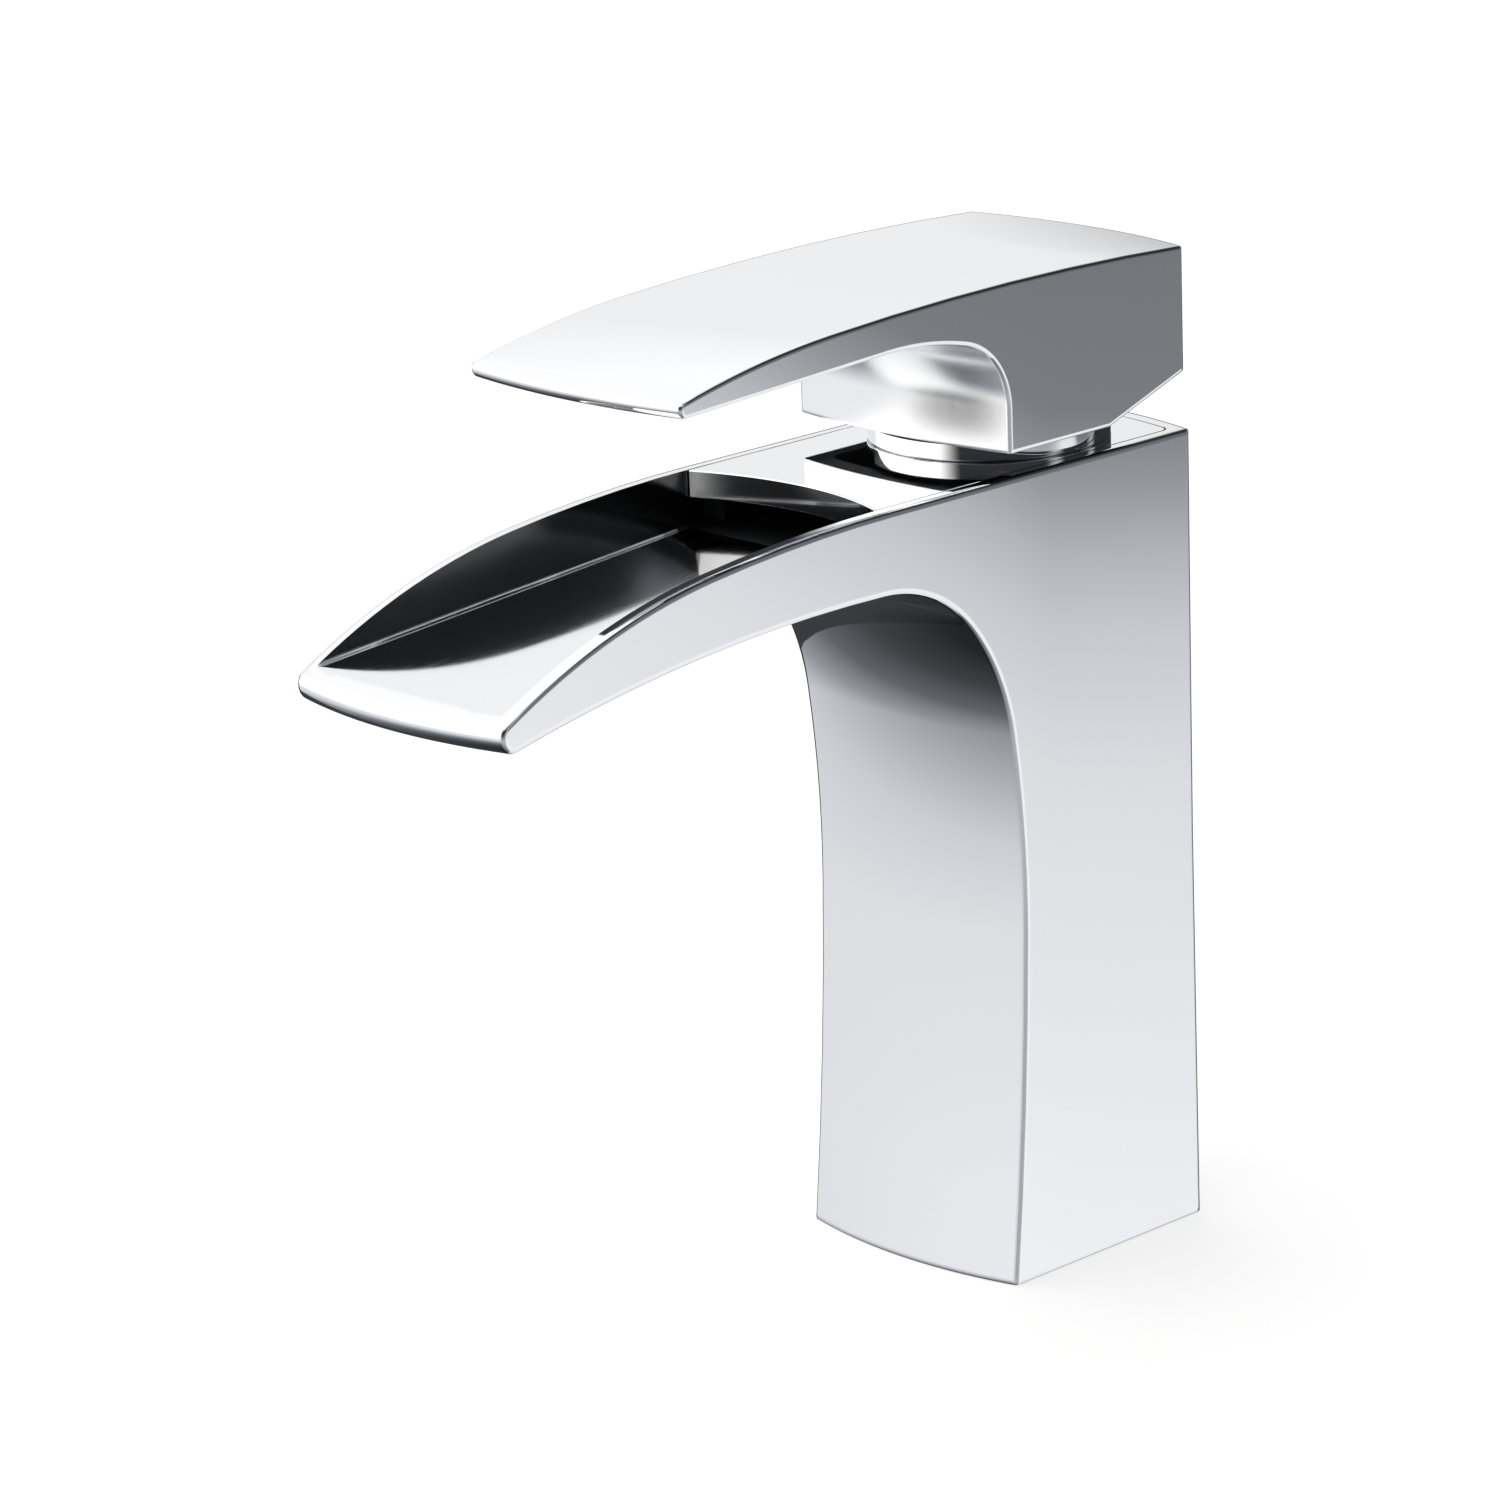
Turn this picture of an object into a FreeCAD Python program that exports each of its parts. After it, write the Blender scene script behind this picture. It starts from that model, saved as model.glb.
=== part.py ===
import FreeCAD, Part
import math
import os

from FreeCAD import Vector

# Single-lever basin mixer with an open waterfall spout.
# Millimetres. +Z is up and the spout points along -Y. The origin is where the axis of the
# tap hole meets the deck, so the body stands on the plane z = 0.
# Outline points in the side view are (y, z) pairs.

# ---- Overall sizes ----
WIDTH = 45.0
HALF = WIDTH / 2
BODY_TOP = 130.0
BODY_BOW = 85.0            # plan radius of the bowed front, lip and rear of the body
REAR_Y = 21.5              # rear face of the column, at its corners
REAR_HOLLOW = 0.3          # how far the rear face is drawn in at mid height
EDGE_ROUND = 0.4           # small round on the polished outer edges of body and handle

# Side outline of the body: corner points joined by arcs that run into each other smoothly.
FRONT_FOOT = (-21.6, 0.0)
FRONT_WAIST = (-17.6, 57.0)
FRONT_SHOULDER = (-19.5, 89.6)
FRONT_ARMPIT = (-27.7, 108.2)
SPOUT_CROWN = (-46.0, 117.2)
LIP_BOTTOM = (-120.5, 110.1)
LIP_NOSE = (-122.5, 112.3)
LIP_TOP = (-121.8, 114.4)
RIM_SHOULDER = (-81.1, 127.7)
RIM_START_Y = -44.0
FOOT_HEADING = 83.6        # degrees from +Y, the lean of the front at the deck

# ---- Trough, outlet and the seat of the cover plate ----
RIM = 2.1                  # thickness of the trough walls and of the rim round the plate
TROUGH_HALF = HALF - RIM
TROUGH_BACK_Y = -40.0
FLOOR_Y = -44.0            # the sloping floor of the trough passes through this point
FLOOR_Z = 121.3
FLOOR_SLOPE = math.radians(4.4)
PLATE_THICK = 2.0
GASKET_THICK = 0.8
GASKET_FRONT_Y = -41.8     # just behind the plate's front lip
SEAT_Z = BODY_TOP - PLATE_THICK - GASKET_THICK
SEAT_CORNER_R = 1.6
PLATE_FRONT_SIDE_Y = -45.4
PLATE_FRONT_MID_Y = -41.2
PLATE_LIP_THICK = 2.2
OUTLET_TOP = 125.6         # lower edge of the plate's front lip
PLATE_GAP = 0.1
PLENUM_FLOOR = 121.1       # level floor under the plate, where the sloping one ends
PLENUM_HALF = 18.2
PLENUM_FRONT_Y = -46.4
PLENUM_REAR_Y = -23.0

# ---- Cartridge chamber and waterways in the body ----
CHAMBER_R = 19.0
CHAMBER_FLOOR = 94.0
DUCT_HALF = 12.0           # upright duct from the chamber to the plenum
DUCT_FRONT_Y = -28.5
DUCT_REAR_Y = -21.6
WINDOW_HALF = 9.0          # window from the chamber into the duct, below the nut
WINDOW_LOW = 113.0
WINDOW_TOP = 117.0
WATERWAY_R = 3.4
INLET_AT = (6.2, -4.5)     # hot at -x, cold at +x
INLET_R = 2.9
OUTLET_AT = (0.0, 4.0)
OUTLET_R = 3.6
PORT_AT_X = 12.5
PORT_R = 5.0
PORT_DEPTH = 12.0
CAVITY_TOP = 64.0
CAVITY_LOW_HALF = 19.0     # hose cavity at the deck and at its top: half width, front and rear
CAVITY_LOW_Y = (-18.2, 18.2)
CAVITY_HIGH_HALF = 18.4
CAVITY_HIGH_Y = (-14.2, 17.8)
BOSS_R = 6.5
STUD_R = 4.0
STUD_DEPTH = 25.0
GROOVE_DEPTH = 1.6         # groove of the base gasket, as insets from the foot's outline
GROOVE_OUTER_INSET = 1.0
GROOVE_INNER_INSET = 2.6

# ---- Cartridge ----
PIVOT_Z = 126.0            # lever pin
BASE_TOP = 104.0
CARTRIDGE_R = 17.3
SHELL_BORE_R = 15.8
SHELL_TOP = 124.0
SHELL_ROOF = 2.0
NECK_R = 12.0
NECK_BORE_R = 9.3
NECK_TOP = 133.4
PEG_AT = (12.0, 8.0)       # two pegs under the base stop it turning in the body
PEG_R = 2.0
PEG_LENGTH = 3.8
KEY_AT_X = 14.2            # two keys on the base stop the fixed disc turning
KEY_R = 1.3
KEY_HEIGHT = 2.5
TAB_ANGLES = (30, 150, 270)
TAB_INNER_R = 15.6
TAB_HALF = 2.6
TAB_LOW = 99.0
TAB_GAP = 0.15
OUTLET_WELL_LOW = 98.0     # the mixed water turns to the rear here
SIDE_OUTLET_HALF = 5.5
SIDE_OUTLET_LOW = 97.5
SIDE_OUTLET_TOP = 101.5
LOW_SEAL_R = 5.1
LOW_SEAL_THICK = 1.6
HIGH_SEAL_R = 4.3
OUTLET_SEAL_R = 4.9
HIGH_SEAL_THICK = 1.5
SEAL_GAP = 0.1

# ---- Ceramic discs and their carrier ----
DISC_THICK = 4.0
FIXED_DISC_R = 14.8
MOVING_DISC_R = 11.4
MOVING_LOW = BASE_TOP + DISC_THICK
MOVING_TOP = MOVING_LOW + DISC_THICK
POCKET_AT = (4.2, 3.2)     # ends of the blind pocket that joins the inlets to the outlet
POCKET_R = 3.2
POCKET_DEPTH = 2.0
NOTCH_FROM_X = 9.9
LUG_FROM_X = 10.0
LUG_HALF = 1.5
LUG_DEPTH = 1.4
CARRIER_R = 11.8
CARRIER_FOOT = 3.2
CARRIER_HALF = 8.8         # half width of the head that slides between the rails
CARRIER_TOP = 118.6
SOCKET_FLOOR = 0.8
BALL_Z = 116.5
BALL_R = 3.2
BALL_GAP = 0.1

# ---- Stem, pin and the guide that turns in the neck ----
GUIDE_R = 15.4
GUIDE_LOW = 119.0
RAIL_FROM_X = 8.95
RAIL_LOW = MOVING_TOP + CARRIER_FOOT + 0.4
RUNNING = 0.08
RING_GROOVE_R = 8.0
RING_GROOVE_LOW = 129.6
RING_GROOVE_TOP = 131.2
PIN_R = 1.5
PIN_HALF = 8.8
STEM_HALF_X = 3.5
STEM_HALF_Y = 4.0
STEM_LOW = 122.2
STEM_TOP = 151.0
ARM_R = 2.3
SLOT_WAIST = STEM_HALF_Y + 0.7     # the slot widens from the pin, so that the stem can tilt
SLOT_LOW_FRONT_Y = -8.1
SLOT_TOP_REAR_Y = 8.2

# ---- Nut, collar ----
NUT_LOW = 118.0
NUT_BORE_R = CARTRIDGE_R + 0.3
FLANGE_TOP = 126.4
FLANGE_BORE_R = NECK_R + 0.4
THREAD_GAP = 0.05
SLEEVE_R = 16.2
SLEEVE_WALL = 2.4
SLEEVE_TOP = 131.4
KEYWAY_HALF = 1.6
KEYWAY_DEPTH = 2.0
NUT_SEAL_R = 17.7
NUT_SEAL_LOW = 124.5
NUT_SEAL_TOP = 125.9
COLLAR_R = 19.0
COLLAR_TOP = 133.0
COLLAR_CAP = 1.4
COLLAR_EDGE = 0.35

# ---- Handle ----
HANDLE_BOW = 120.0         # plan radius of the lever's lip and the hub's front
HANDLE_REAR_BOW = 68.0
HANDLE_REAR_Y = 20.5
HANDLE_REAR_TOP = 159.1
HUB_FRONT_Y = -18.7
HUB_BOTTOM = 133.6
HUB_FILLET_START = 140.6
HUB_FILLET_END = (-27.6, 152.0)
LEVER_CROWN = (-45.4, 153.6)
LEVER_LIP_BOTTOM = (-85.1, 151.7)
LEVER_LIP_NOSE = (-86.2, 152.9)
LEVER_LIP_TOP = (-85.8, 154.1)
LEVER_SHOULDER = (-55.5, 158.7)
LEVER_TOP_HEADING = 176.9
BEVEL_START_Y = 3.5        # the underside rises from here, so that the rear clears the body
BEVEL_END_Z = 139.3
HUB_WALL = 2.9
HUB_CEILING = 155.5
HUB_CORNER_R = 2.0
SOCKET_HALF_X = 7.5
SOCKET_FRONT_Y = -8.5
SOCKET_REAR_Y = 22.0
SOCKET_BOTTOM = 141.0
STEM_FIT = 0.05
GRUB_Z = 146.0
GRUB_R = 2.5
GRUB_LENGTH = 8.0
GRUB_HEX_R = 1.45
GRUB_HEX_DEPTH = 3.0
PLUG_R = 3.6
PLUG_SEAT_Y = 21.4


def arc_chain(points, heading, x):
    """Edges through (y, z) points in the plane of one x; each arc leaves the last tangentially."""
    edges = []
    angle = math.radians(heading)
    for (y0, z0), (y1, z1) in zip(points, points[1:]):
        chord = math.atan2(z1 - z0, y1 - y0)
        length = math.hypot(y1 - y0, z1 - z0)
        turn = math.remainder(chord - angle, 2 * math.pi)
        rise = length / 2 * math.tan(turn / 2)
        middle = ((y0 + y1) / 2 + rise * math.sin(chord), (z0 + z1) / 2 - rise * math.cos(chord))
        edges.append(arc_of((y0, z0), middle, (y1, z1), x))
        angle += 2 * turn
    return edges


def arc_of(start, middle, end, x):
    return Part.Arc(Vector(x, *start), Vector(x, *middle), Vector(x, *end)).toShape()


def straight(points, x):
    """Straight edges through (y, z) points in the plane of one x."""
    corners = [Vector(x, y, z) for y, z in points]
    return [Part.LineSegment(a, b).toShape() for a, b in zip(corners, corners[1:])]


def bow_depth(radius, half):
    return radius - math.sqrt(radius ** 2 - half ** 2)


def swept(edges, radius, side):
    """Carry a side outline across the width along a bowed line, without turning it.
    side is -1 for a bow towards -Y and +1 for one towards +Y."""
    outline = Part.Wire(Part.__sortEdges__(edges))
    crown = Vector(0, side * bow_depth(radius, HALF), 0)
    path = Part.Wire([Part.Arc(Vector(-HALF, 0, 0), crown, Vector(HALF, 0, 0)).toShape()])
    maker = Part.BRepOffsetAPI.MakePipeShell(path)
    maker.setTrihedronMode(Vector(0, 0, 0), Vector(1, 0, 0))
    maker.add(outline)
    maker.build()
    maker.makeSolid()
    return maker.shape()


def plan_wire(half, front_y, rear_y, front_bow, rear_bow, z):
    """Plan outline with straight sides and bowed ends; front_y and rear_y are at the corners."""
    front_crown = Vector(0, front_y - bow_depth(front_bow, half), z)
    rear_crown = Vector(0, rear_y + bow_depth(rear_bow, half), z)
    front_left = Vector(-half, front_y, z)
    front_right = Vector(half, front_y, z)
    rear_right = Vector(half, rear_y, z)
    rear_left = Vector(-half, rear_y, z)
    return Part.Wire([
        Part.Arc(front_left, front_crown, front_right).toShape(),
        Part.LineSegment(front_right, rear_right).toShape(),
        Part.Arc(rear_right, rear_crown, rear_left).toShape(),
        Part.LineSegment(rear_left, front_left).toShape(),
    ])


def prism(wire, height):
    return Part.Face(wire).extrude(Vector(0, 0, height))


def upright_edges(shape, test):
    """Vertical edges whose plan position passes the test."""
    found = []
    for edge in shape.Edges:
        start, end = edge.Vertexes[0].Point, edge.Vertexes[-1].Point
        if abs(start.x - end.x) < 1e-6 and abs(start.y - end.y) < 1e-6 and test(start.x, start.y):
            found.append(edge)
    return found


def crisp_edges(shape, test):
    """Edges whose two faces meet at a clear corner and whose bounds pass the test."""
    found = []
    for edge in shape.Edges:
        faces = shape.ancestorsOfType(edge, Part.Face)
        if len(faces) != 2 or not test(edge.BoundBox):
            continue
        middle = edge.valueAt((edge.FirstParameter + edge.LastParameter) / 2)
        normals = [face.normalAt(*face.Surface.parameter(middle)) for face in faces]
        if math.degrees(normals[0].getAngle(normals[1])) > 60:
            found.append(edge)
    return found


def disc(radius, low, high, x=0.0, y=0.0):
    return Part.makeCylinder(radius, high - low, Vector(x, y, low))


def ring(outer, inner, low, high, x=0.0, y=0.0):
    return disc(outer, low, high, x, y).cut(disc(inner, low, high, x, y))


def rod(radius, half, z):
    """Round bar along X, centred on the pin's height or another z."""
    return Part.makeCylinder(radius, 2 * half, Vector(-half, 0, z), Vector(1, 0, 0))


def bore_to_rear(radius, length, y, z):
    return Part.makeCylinder(radius, length, Vector(0, y, z), Vector(0, 1, 0))


def block(low, high):
    """Box between two corners, given in any order along each axis."""
    near = [min(a, b) for a, b in zip(low, high)]
    size = [abs(b - a) for a, b in zip(low, high)]
    return Part.makeBox(*size, Vector(*near))


def side_prism(points, half):
    """Polygon of (y, z) points carried from x = -half to x = +half."""
    outline = Part.makePolygon([Vector(-half, y, z) for y, z in points + points[:1]])
    return Part.Face(outline).extrude(Vector(2 * half, 0, 0))


def turned(points):
    """Solid of revolution about Z from (radius, z) points."""
    outline = Part.makePolygon([Vector(r, 0, z) for r, z in points + points[:1]])
    return Part.Face(outline).revolve(Vector(0, 0, 0), Vector(0, 0, 1), 360)


def about_axis(shape, angle):
    shape.rotate(Vector(0, 0, 0), Vector(0, 0, 1), angle)
    return shape


def fused(shapes):
    return shapes[0].multiFuse(shapes[1:]).removeSplitter()


def inlets(radius, low, high):
    """The same disc at the hot and the cold inlet of the cartridge."""
    return [disc(radius, low, high, side * INLET_AT[0], INLET_AT[1]) for side in (-1, 1)]


def floor_z(y):
    return FLOOR_Z + (y - FLOOR_Y) * math.tan(FLOOR_SLOPE)


# ---- Cast body: column, open spout, cartridge chamber and waterways ----

def body_outside():
    left = -HALF
    overlap = 5.0
    front = arc_chain(
        [FRONT_FOOT, FRONT_WAIST, FRONT_SHOULDER, FRONT_ARMPIT, SPOUT_CROWN, LIP_BOTTOM], FOOT_HEADING, left)
    front.append(arc_of(LIP_BOTTOM, LIP_NOSE, LIP_TOP, left))
    front += arc_chain([(RIM_START_Y, BODY_TOP), RIM_SHOULDER, LIP_TOP], 180, left)
    front += straight([(RIM_START_Y, BODY_TOP), (overlap, BODY_TOP), (overlap, 0), FRONT_FOOT], left)
    rear = straight([(REAR_Y, 0), (-overlap, 0), (-overlap, BODY_TOP), (REAR_Y, BODY_TOP)], left)
    rear.append(arc_of((REAR_Y, 0), (REAR_Y - REAR_HOLLOW, BODY_TOP / 2), (REAR_Y, BODY_TOP), left))
    outside = fused([swept(front, BODY_BOW, -1), swept(rear, BODY_BOW, 1)])
    return outside.makeFillet(EDGE_ROUND, crisp_edges(outside, lambda bounds: bounds.ZMax > 1))


def plate_seat():
    """Recess in the top for the cover plate, with rounded rear corners."""
    seat = prism(plan_wire(TROUGH_HALF, PLATE_FRONT_SIDE_Y, REAR_Y - RIM, BODY_BOW, BODY_BOW, SEAT_Z), 20)
    return seat.makeFillet(SEAT_CORNER_R, upright_edges(seat, lambda x, y: y > 0))


def trough():
    """Open channel from the outlet to the lip. Its straight floor falls towards the lip."""
    front, above = -130.0, 145.0
    profile = [(TROUGH_BACK_Y, PLENUM_FLOOR), (TROUGH_BACK_Y, above), (front, above), (front, floor_z(front)),
               (FLOOR_Y + (PLENUM_FLOOR - FLOOR_Z) / math.tan(FLOOR_SLOPE), PLENUM_FLOOR)]
    return side_prism(profile, TROUGH_HALF)


def plenum():
    """Hidden chamber under the cover plate that feeds the full-width outlet."""
    return block((-PLENUM_HALF, PLENUM_FRONT_Y, PLENUM_FLOOR), (PLENUM_HALF, PLENUM_REAR_Y, BODY_TOP))


def riser():
    """Way of the mixed water: out of the chamber below the nut, then up into the plenum."""
    window = block((-WINDOW_HALF, DUCT_FRONT_Y, WINDOW_LOW), (WINDOW_HALF, -CHAMBER_R + 4, WINDOW_TOP))
    duct = block((-DUCT_HALF, DUCT_FRONT_Y, WINDOW_LOW), (DUCT_HALF, DUCT_REAR_Y, BODY_TOP))
    return window.fuse(duct)


def hose_cavity():
    """Tapered hollow in the foot for the two hoses, left standing round the stud boss."""
    low = plan_wire(CAVITY_LOW_HALF, *CAVITY_LOW_Y, BODY_BOW, BODY_BOW, 0)
    high = plan_wire(CAVITY_HIGH_HALF, *CAVITY_HIGH_Y, BODY_BOW, BODY_BOW, CAVITY_TOP)
    return Part.makeLoft([low, high], True, True).cut(disc(BOSS_R, 0, CAVITY_TOP))


def inlet_ways():
    """Threaded hose ports with slanting bores up to the seat of the cartridge, and its peg holes."""
    ways = []
    peg_hole_r = PEG_R + SEAL_GAP
    for side in (-1, 1):
        ways.append(disc(PORT_R, CAVITY_TOP, CAVITY_TOP + PORT_DEPTH, side * PORT_AT_X, 0))
        start = Vector(side * PORT_AT_X, 0, CAVITY_TOP + PORT_DEPTH - 2)
        way = Vector(side * INLET_AT[0], INLET_AT[1], CHAMBER_FLOOR + 1) - start
        ways.append(Part.makeCylinder(WATERWAY_R, way.Length, start, way))
        ways.append(disc(peg_hole_r, CHAMBER_FLOOR - 4, CHAMBER_FLOOR, side * PEG_AT[0], PEG_AT[1]))
    return ways


def foot_ring():
    """Flat ring that follows the foot's outline: the gasket and its groove alike."""
    wires = [plan_wire(HALF - inset, FRONT_FOOT[0] + inset, REAR_Y - inset, BODY_BOW, BODY_BOW, 0)
             for inset in (GROOVE_OUTER_INSET, GROOVE_INNER_INSET)]
    return prism(wires[0], GROOVE_DEPTH).cut(prism(wires[1], GROOVE_DEPTH))


def spout_body():
    cuts = [plate_seat(), trough(), plenum(), riser(), hose_cavity(), foot_ring()] + inlet_ways()
    cuts.append(disc(CHAMBER_R, CHAMBER_FLOOR, BODY_TOP))
    cuts.append(disc(STUD_R, 0, STUD_DEPTH))
    return body_outside().cut(cuts).removeSplitter()


def base_gasket():
    return foot_ring()


# ---- Cover plate ----

def plate_plan(gap, z):
    """Plan of the cover plate: bowed rear, straight sides, front edge curved back."""
    half = TROUGH_HALF - gap
    rear_side = REAR_Y - RIM - gap
    front_left = Vector(-half, PLATE_FRONT_SIDE_Y, z)
    front_right = Vector(half, PLATE_FRONT_SIDE_Y, z)
    rear_left = Vector(-half, rear_side, z)
    rear_right = Vector(half, rear_side, z)
    return Part.Wire([
        Part.Arc(front_left, Vector(0, PLATE_FRONT_MID_Y, z), front_right).toShape(),
        Part.LineSegment(front_right, rear_right).toShape(),
        Part.Arc(rear_right, Vector(0, rear_side + bow_depth(BODY_BOW, half), z), rear_left).toShape(),
        Part.LineSegment(rear_left, front_left).toShape(),
    ])


def plate_prism(gap, low, high):
    solid = prism(plate_plan(gap, low), high - low)
    return solid.makeFillet(SEAT_CORNER_R - gap, upright_edges(solid, lambda x, y: y > 0))


def cover_plate():
    low = BODY_TOP - PLATE_THICK
    sheet = plate_prism(PLATE_GAP, low, BODY_TOP)
    lip = prism(plate_plan(PLATE_GAP, OUTLET_TOP), BODY_TOP - OUTLET_TOP)
    behind = lip.copy()
    behind.translate(Vector(0, PLATE_LIP_THICK, 0))
    return fused([sheet, lip.cut(behind)]).cut(disc(SLEEVE_R + 0.2, low, BODY_TOP))


def plate_gasket():
    gap = 0.3
    top = SEAT_Z + GASKET_THICK
    sheet = plate_prism(gap, SEAT_Z, top)
    water = block((-PLENUM_HALF, PLATE_FRONT_SIDE_Y, SEAT_Z), (PLENUM_HALF, PLENUM_REAR_Y, top))
    lip = block((-HALF, PLATE_FRONT_SIDE_Y, SEAT_Z), (HALF, GASKET_FRONT_Y, top))
    return sheet.cut([water, lip, disc(CHAMBER_R + gap, SEAT_Z, top)])


# ---- Ceramic cartridge: base, housing and seals ----

def snap_tabs(gap):
    """Three tabs that hold the housing on its base."""
    low = (TAB_INNER_R - gap, -TAB_HALF - gap, TAB_LOW - gap)
    high = (CARTRIDGE_R + 2, TAB_HALF + gap, BASE_TOP)
    return [about_axis(block(low, high), angle) for angle in TAB_ANGLES]


def cartridge_base():
    base = disc(CARTRIDGE_R, CHAMBER_FLOOR, BASE_TOP)
    peg_low = CHAMBER_FLOOR - PEG_LENGTH
    pegs = [disc(PEG_R, peg_low, CHAMBER_FLOOR, side * PEG_AT[0], PEG_AT[1]) for side in (-1, 1)]
    keys = [disc(KEY_R, BASE_TOP, BASE_TOP + KEY_HEIGHT, side * KEY_AT_X) for side in (-1, 1)]
    cuts = inlets(INLET_R, CHAMBER_FLOOR, BASE_TOP)
    cuts += inlets(LOW_SEAL_R + SEAL_GAP, CHAMBER_FLOOR, CHAMBER_FLOOR + LOW_SEAL_THICK)
    cuts += inlets(HIGH_SEAL_R + SEAL_GAP, BASE_TOP - HIGH_SEAL_THICK, BASE_TOP)
    cuts.append(disc(OUTLET_R, OUTLET_WELL_LOW, BASE_TOP, *OUTLET_AT))
    cuts.append(disc(OUTLET_SEAL_R + SEAL_GAP, BASE_TOP - HIGH_SEAL_THICK, BASE_TOP, *OUTLET_AT))
    cuts.append(block((-SIDE_OUTLET_HALF, OUTLET_AT[1], SIDE_OUTLET_LOW),
                      (SIDE_OUTLET_HALF, CARTRIDGE_R + 2, SIDE_OUTLET_TOP)))
    return fused([base] + pegs + keys).cut(cuts + snap_tabs(TAB_GAP))


def cartridge_housing():
    roof = SHELL_TOP - SHELL_ROOF
    shell = turned([(CARTRIDGE_R, BASE_TOP), (CARTRIDGE_R, SHELL_TOP), (NECK_R, SHELL_TOP),
                    (NECK_R, NECK_TOP), (NECK_BORE_R, NECK_TOP), (NECK_BORE_R, roof),
                    (SHELL_BORE_R, roof), (SHELL_BORE_R, BASE_TOP)])
    tabs = [tab.common(disc(CARTRIDGE_R, CHAMBER_FLOOR, BASE_TOP)) for tab in snap_tabs(0)]
    return fused([shell] + tabs)


def port_seals():
    top = CHAMBER_FLOOR + LOW_SEAL_THICK
    outers = inlets(LOW_SEAL_R, CHAMBER_FLOOR, top)
    inners = inlets(WATERWAY_R, CHAMBER_FLOOR, top)
    return Part.makeCompound([outer.cut(inner) for outer, inner in zip(outers, inners)])


def disc_seals():
    low = BASE_TOP - HIGH_SEAL_THICK
    outers = inlets(HIGH_SEAL_R, low, BASE_TOP)
    inners = inlets(INLET_R, low, BASE_TOP)
    rings = [outer.cut(inner) for outer, inner in zip(outers, inners)]
    rings.append(ring(OUTLET_SEAL_R, OUTLET_R, low, BASE_TOP, *OUTLET_AT))
    return Part.makeCompound(rings)


# ---- Ceramic discs and carrier ----

def fixed_disc():
    low, high = BASE_TOP, BASE_TOP + DISC_THICK
    notch = KEY_R + SEAL_GAP
    cuts = inlets(INLET_R, low, high)
    cuts.append(disc(OUTLET_R, low, high, *OUTLET_AT))
    for side in (-1, 1):
        cuts.append(disc(notch, low, high, side * KEY_AT_X))
        cuts.append(block((side * KEY_AT_X, -notch, low), (side * (FIXED_DISC_R + 1), notch, high)))
    return disc(FIXED_DISC_R, low, high).cut(cuts)


def moving_disc():
    """Upper ceramic disc; its blind pocket joins the inlets to the outlet when the disc slides."""
    pocket_top = MOVING_LOW + POCKET_DEPTH
    x, y = POCKET_AT
    cuts = [disc(POCKET_R, MOVING_LOW, pocket_top, side * x, y) for side in (-1, 1)]
    cuts.append(block((-x, y - POCKET_R, MOVING_LOW), (x, y + POCKET_R, pocket_top)))
    notch = LUG_HALF + SEAL_GAP
    for side in (-1, 1):
        cuts.append(block((side * NOTCH_FROM_X, -notch, MOVING_TOP - LUG_DEPTH - SEAL_GAP),
                          (side * CARRIER_R, notch, MOVING_TOP)))
    return disc(MOVING_DISC_R, MOVING_LOW, MOVING_TOP).cut(cuts)


def disc_carrier():
    """Slide above the moving disc; the stem's ball pushes it to and fro between the rails."""
    foot = disc(CARRIER_R, MOVING_TOP, MOVING_TOP + CARRIER_FOOT)
    head = disc(CARRIER_R, MOVING_TOP, CARRIER_TOP).common(
        block((-CARRIER_HALF, -CARRIER_R, MOVING_TOP), (CARRIER_HALF, CARRIER_R, CARRIER_TOP)))
    rim = disc(MOVING_DISC_R, MOVING_LOW, MOVING_TOP)
    lugs = [rim.common(block((side * LUG_FROM_X, -LUG_HALF, MOVING_TOP - LUG_DEPTH),
                             (side * CARRIER_R, LUG_HALF, MOVING_TOP))) for side in (-1, 1)]
    return fused([foot, head] + lugs).cut(disc(BALL_R + BALL_GAP, MOVING_TOP + SOCKET_FLOOR, CARRIER_TOP))


# ---- Stem guide, pin and stem ----

def stem_guide():
    """Turning collar that carries the lever pin; its two rails let the carrier slide one way only."""
    neck_r = NECK_BORE_R - RUNNING
    shoulder = SHELL_TOP - SHELL_ROOF - 0.2
    top = NECK_TOP - 0.4
    collar = turned([(0, GUIDE_LOW), (GUIDE_R, GUIDE_LOW), (GUIDE_R, shoulder), (neck_r, shoulder),
                     (neck_r, RING_GROOVE_LOW), (RING_GROOVE_R, RING_GROOVE_LOW),
                     (RING_GROOVE_R, RING_GROOVE_TOP), (neck_r, RING_GROOVE_TOP), (neck_r, top), (0, top)])
    skirt = disc(GUIDE_R, RAIL_LOW, GUIDE_LOW)
    rails = []
    for side in (-1, 1):
        half_space = block((side * RAIL_FROM_X, -GUIDE_R, RAIL_LOW), (side * GUIDE_R, GUIDE_R, GUIDE_LOW))
        rails.append(skirt.common(half_space))
    slot = side_prism([(SLOT_LOW_FRONT_Y, GUIDE_LOW), (SLOT_WAIST, GUIDE_LOW), (SLOT_WAIST, PIVOT_Z),
                       (SLOT_TOP_REAR_Y, NECK_TOP), (-SLOT_WAIST, NECK_TOP), (-SLOT_WAIST, PIVOT_Z)],
                      STEM_HALF_X + SEAL_GAP)
    return fused([collar] + rails).cut([slot, rod(PIN_R + 0.02, GUIDE_R, PIVOT_Z)])


def stem_oring():
    return ring(NECK_BORE_R - SEAL_GAP, RING_GROOVE_R + 0.05, RING_GROOVE_LOW + 0.05, RING_GROOVE_TOP - 0.05)


def stem_pin():
    return rod(PIN_R, PIN_HALF, PIVOT_Z)


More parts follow.
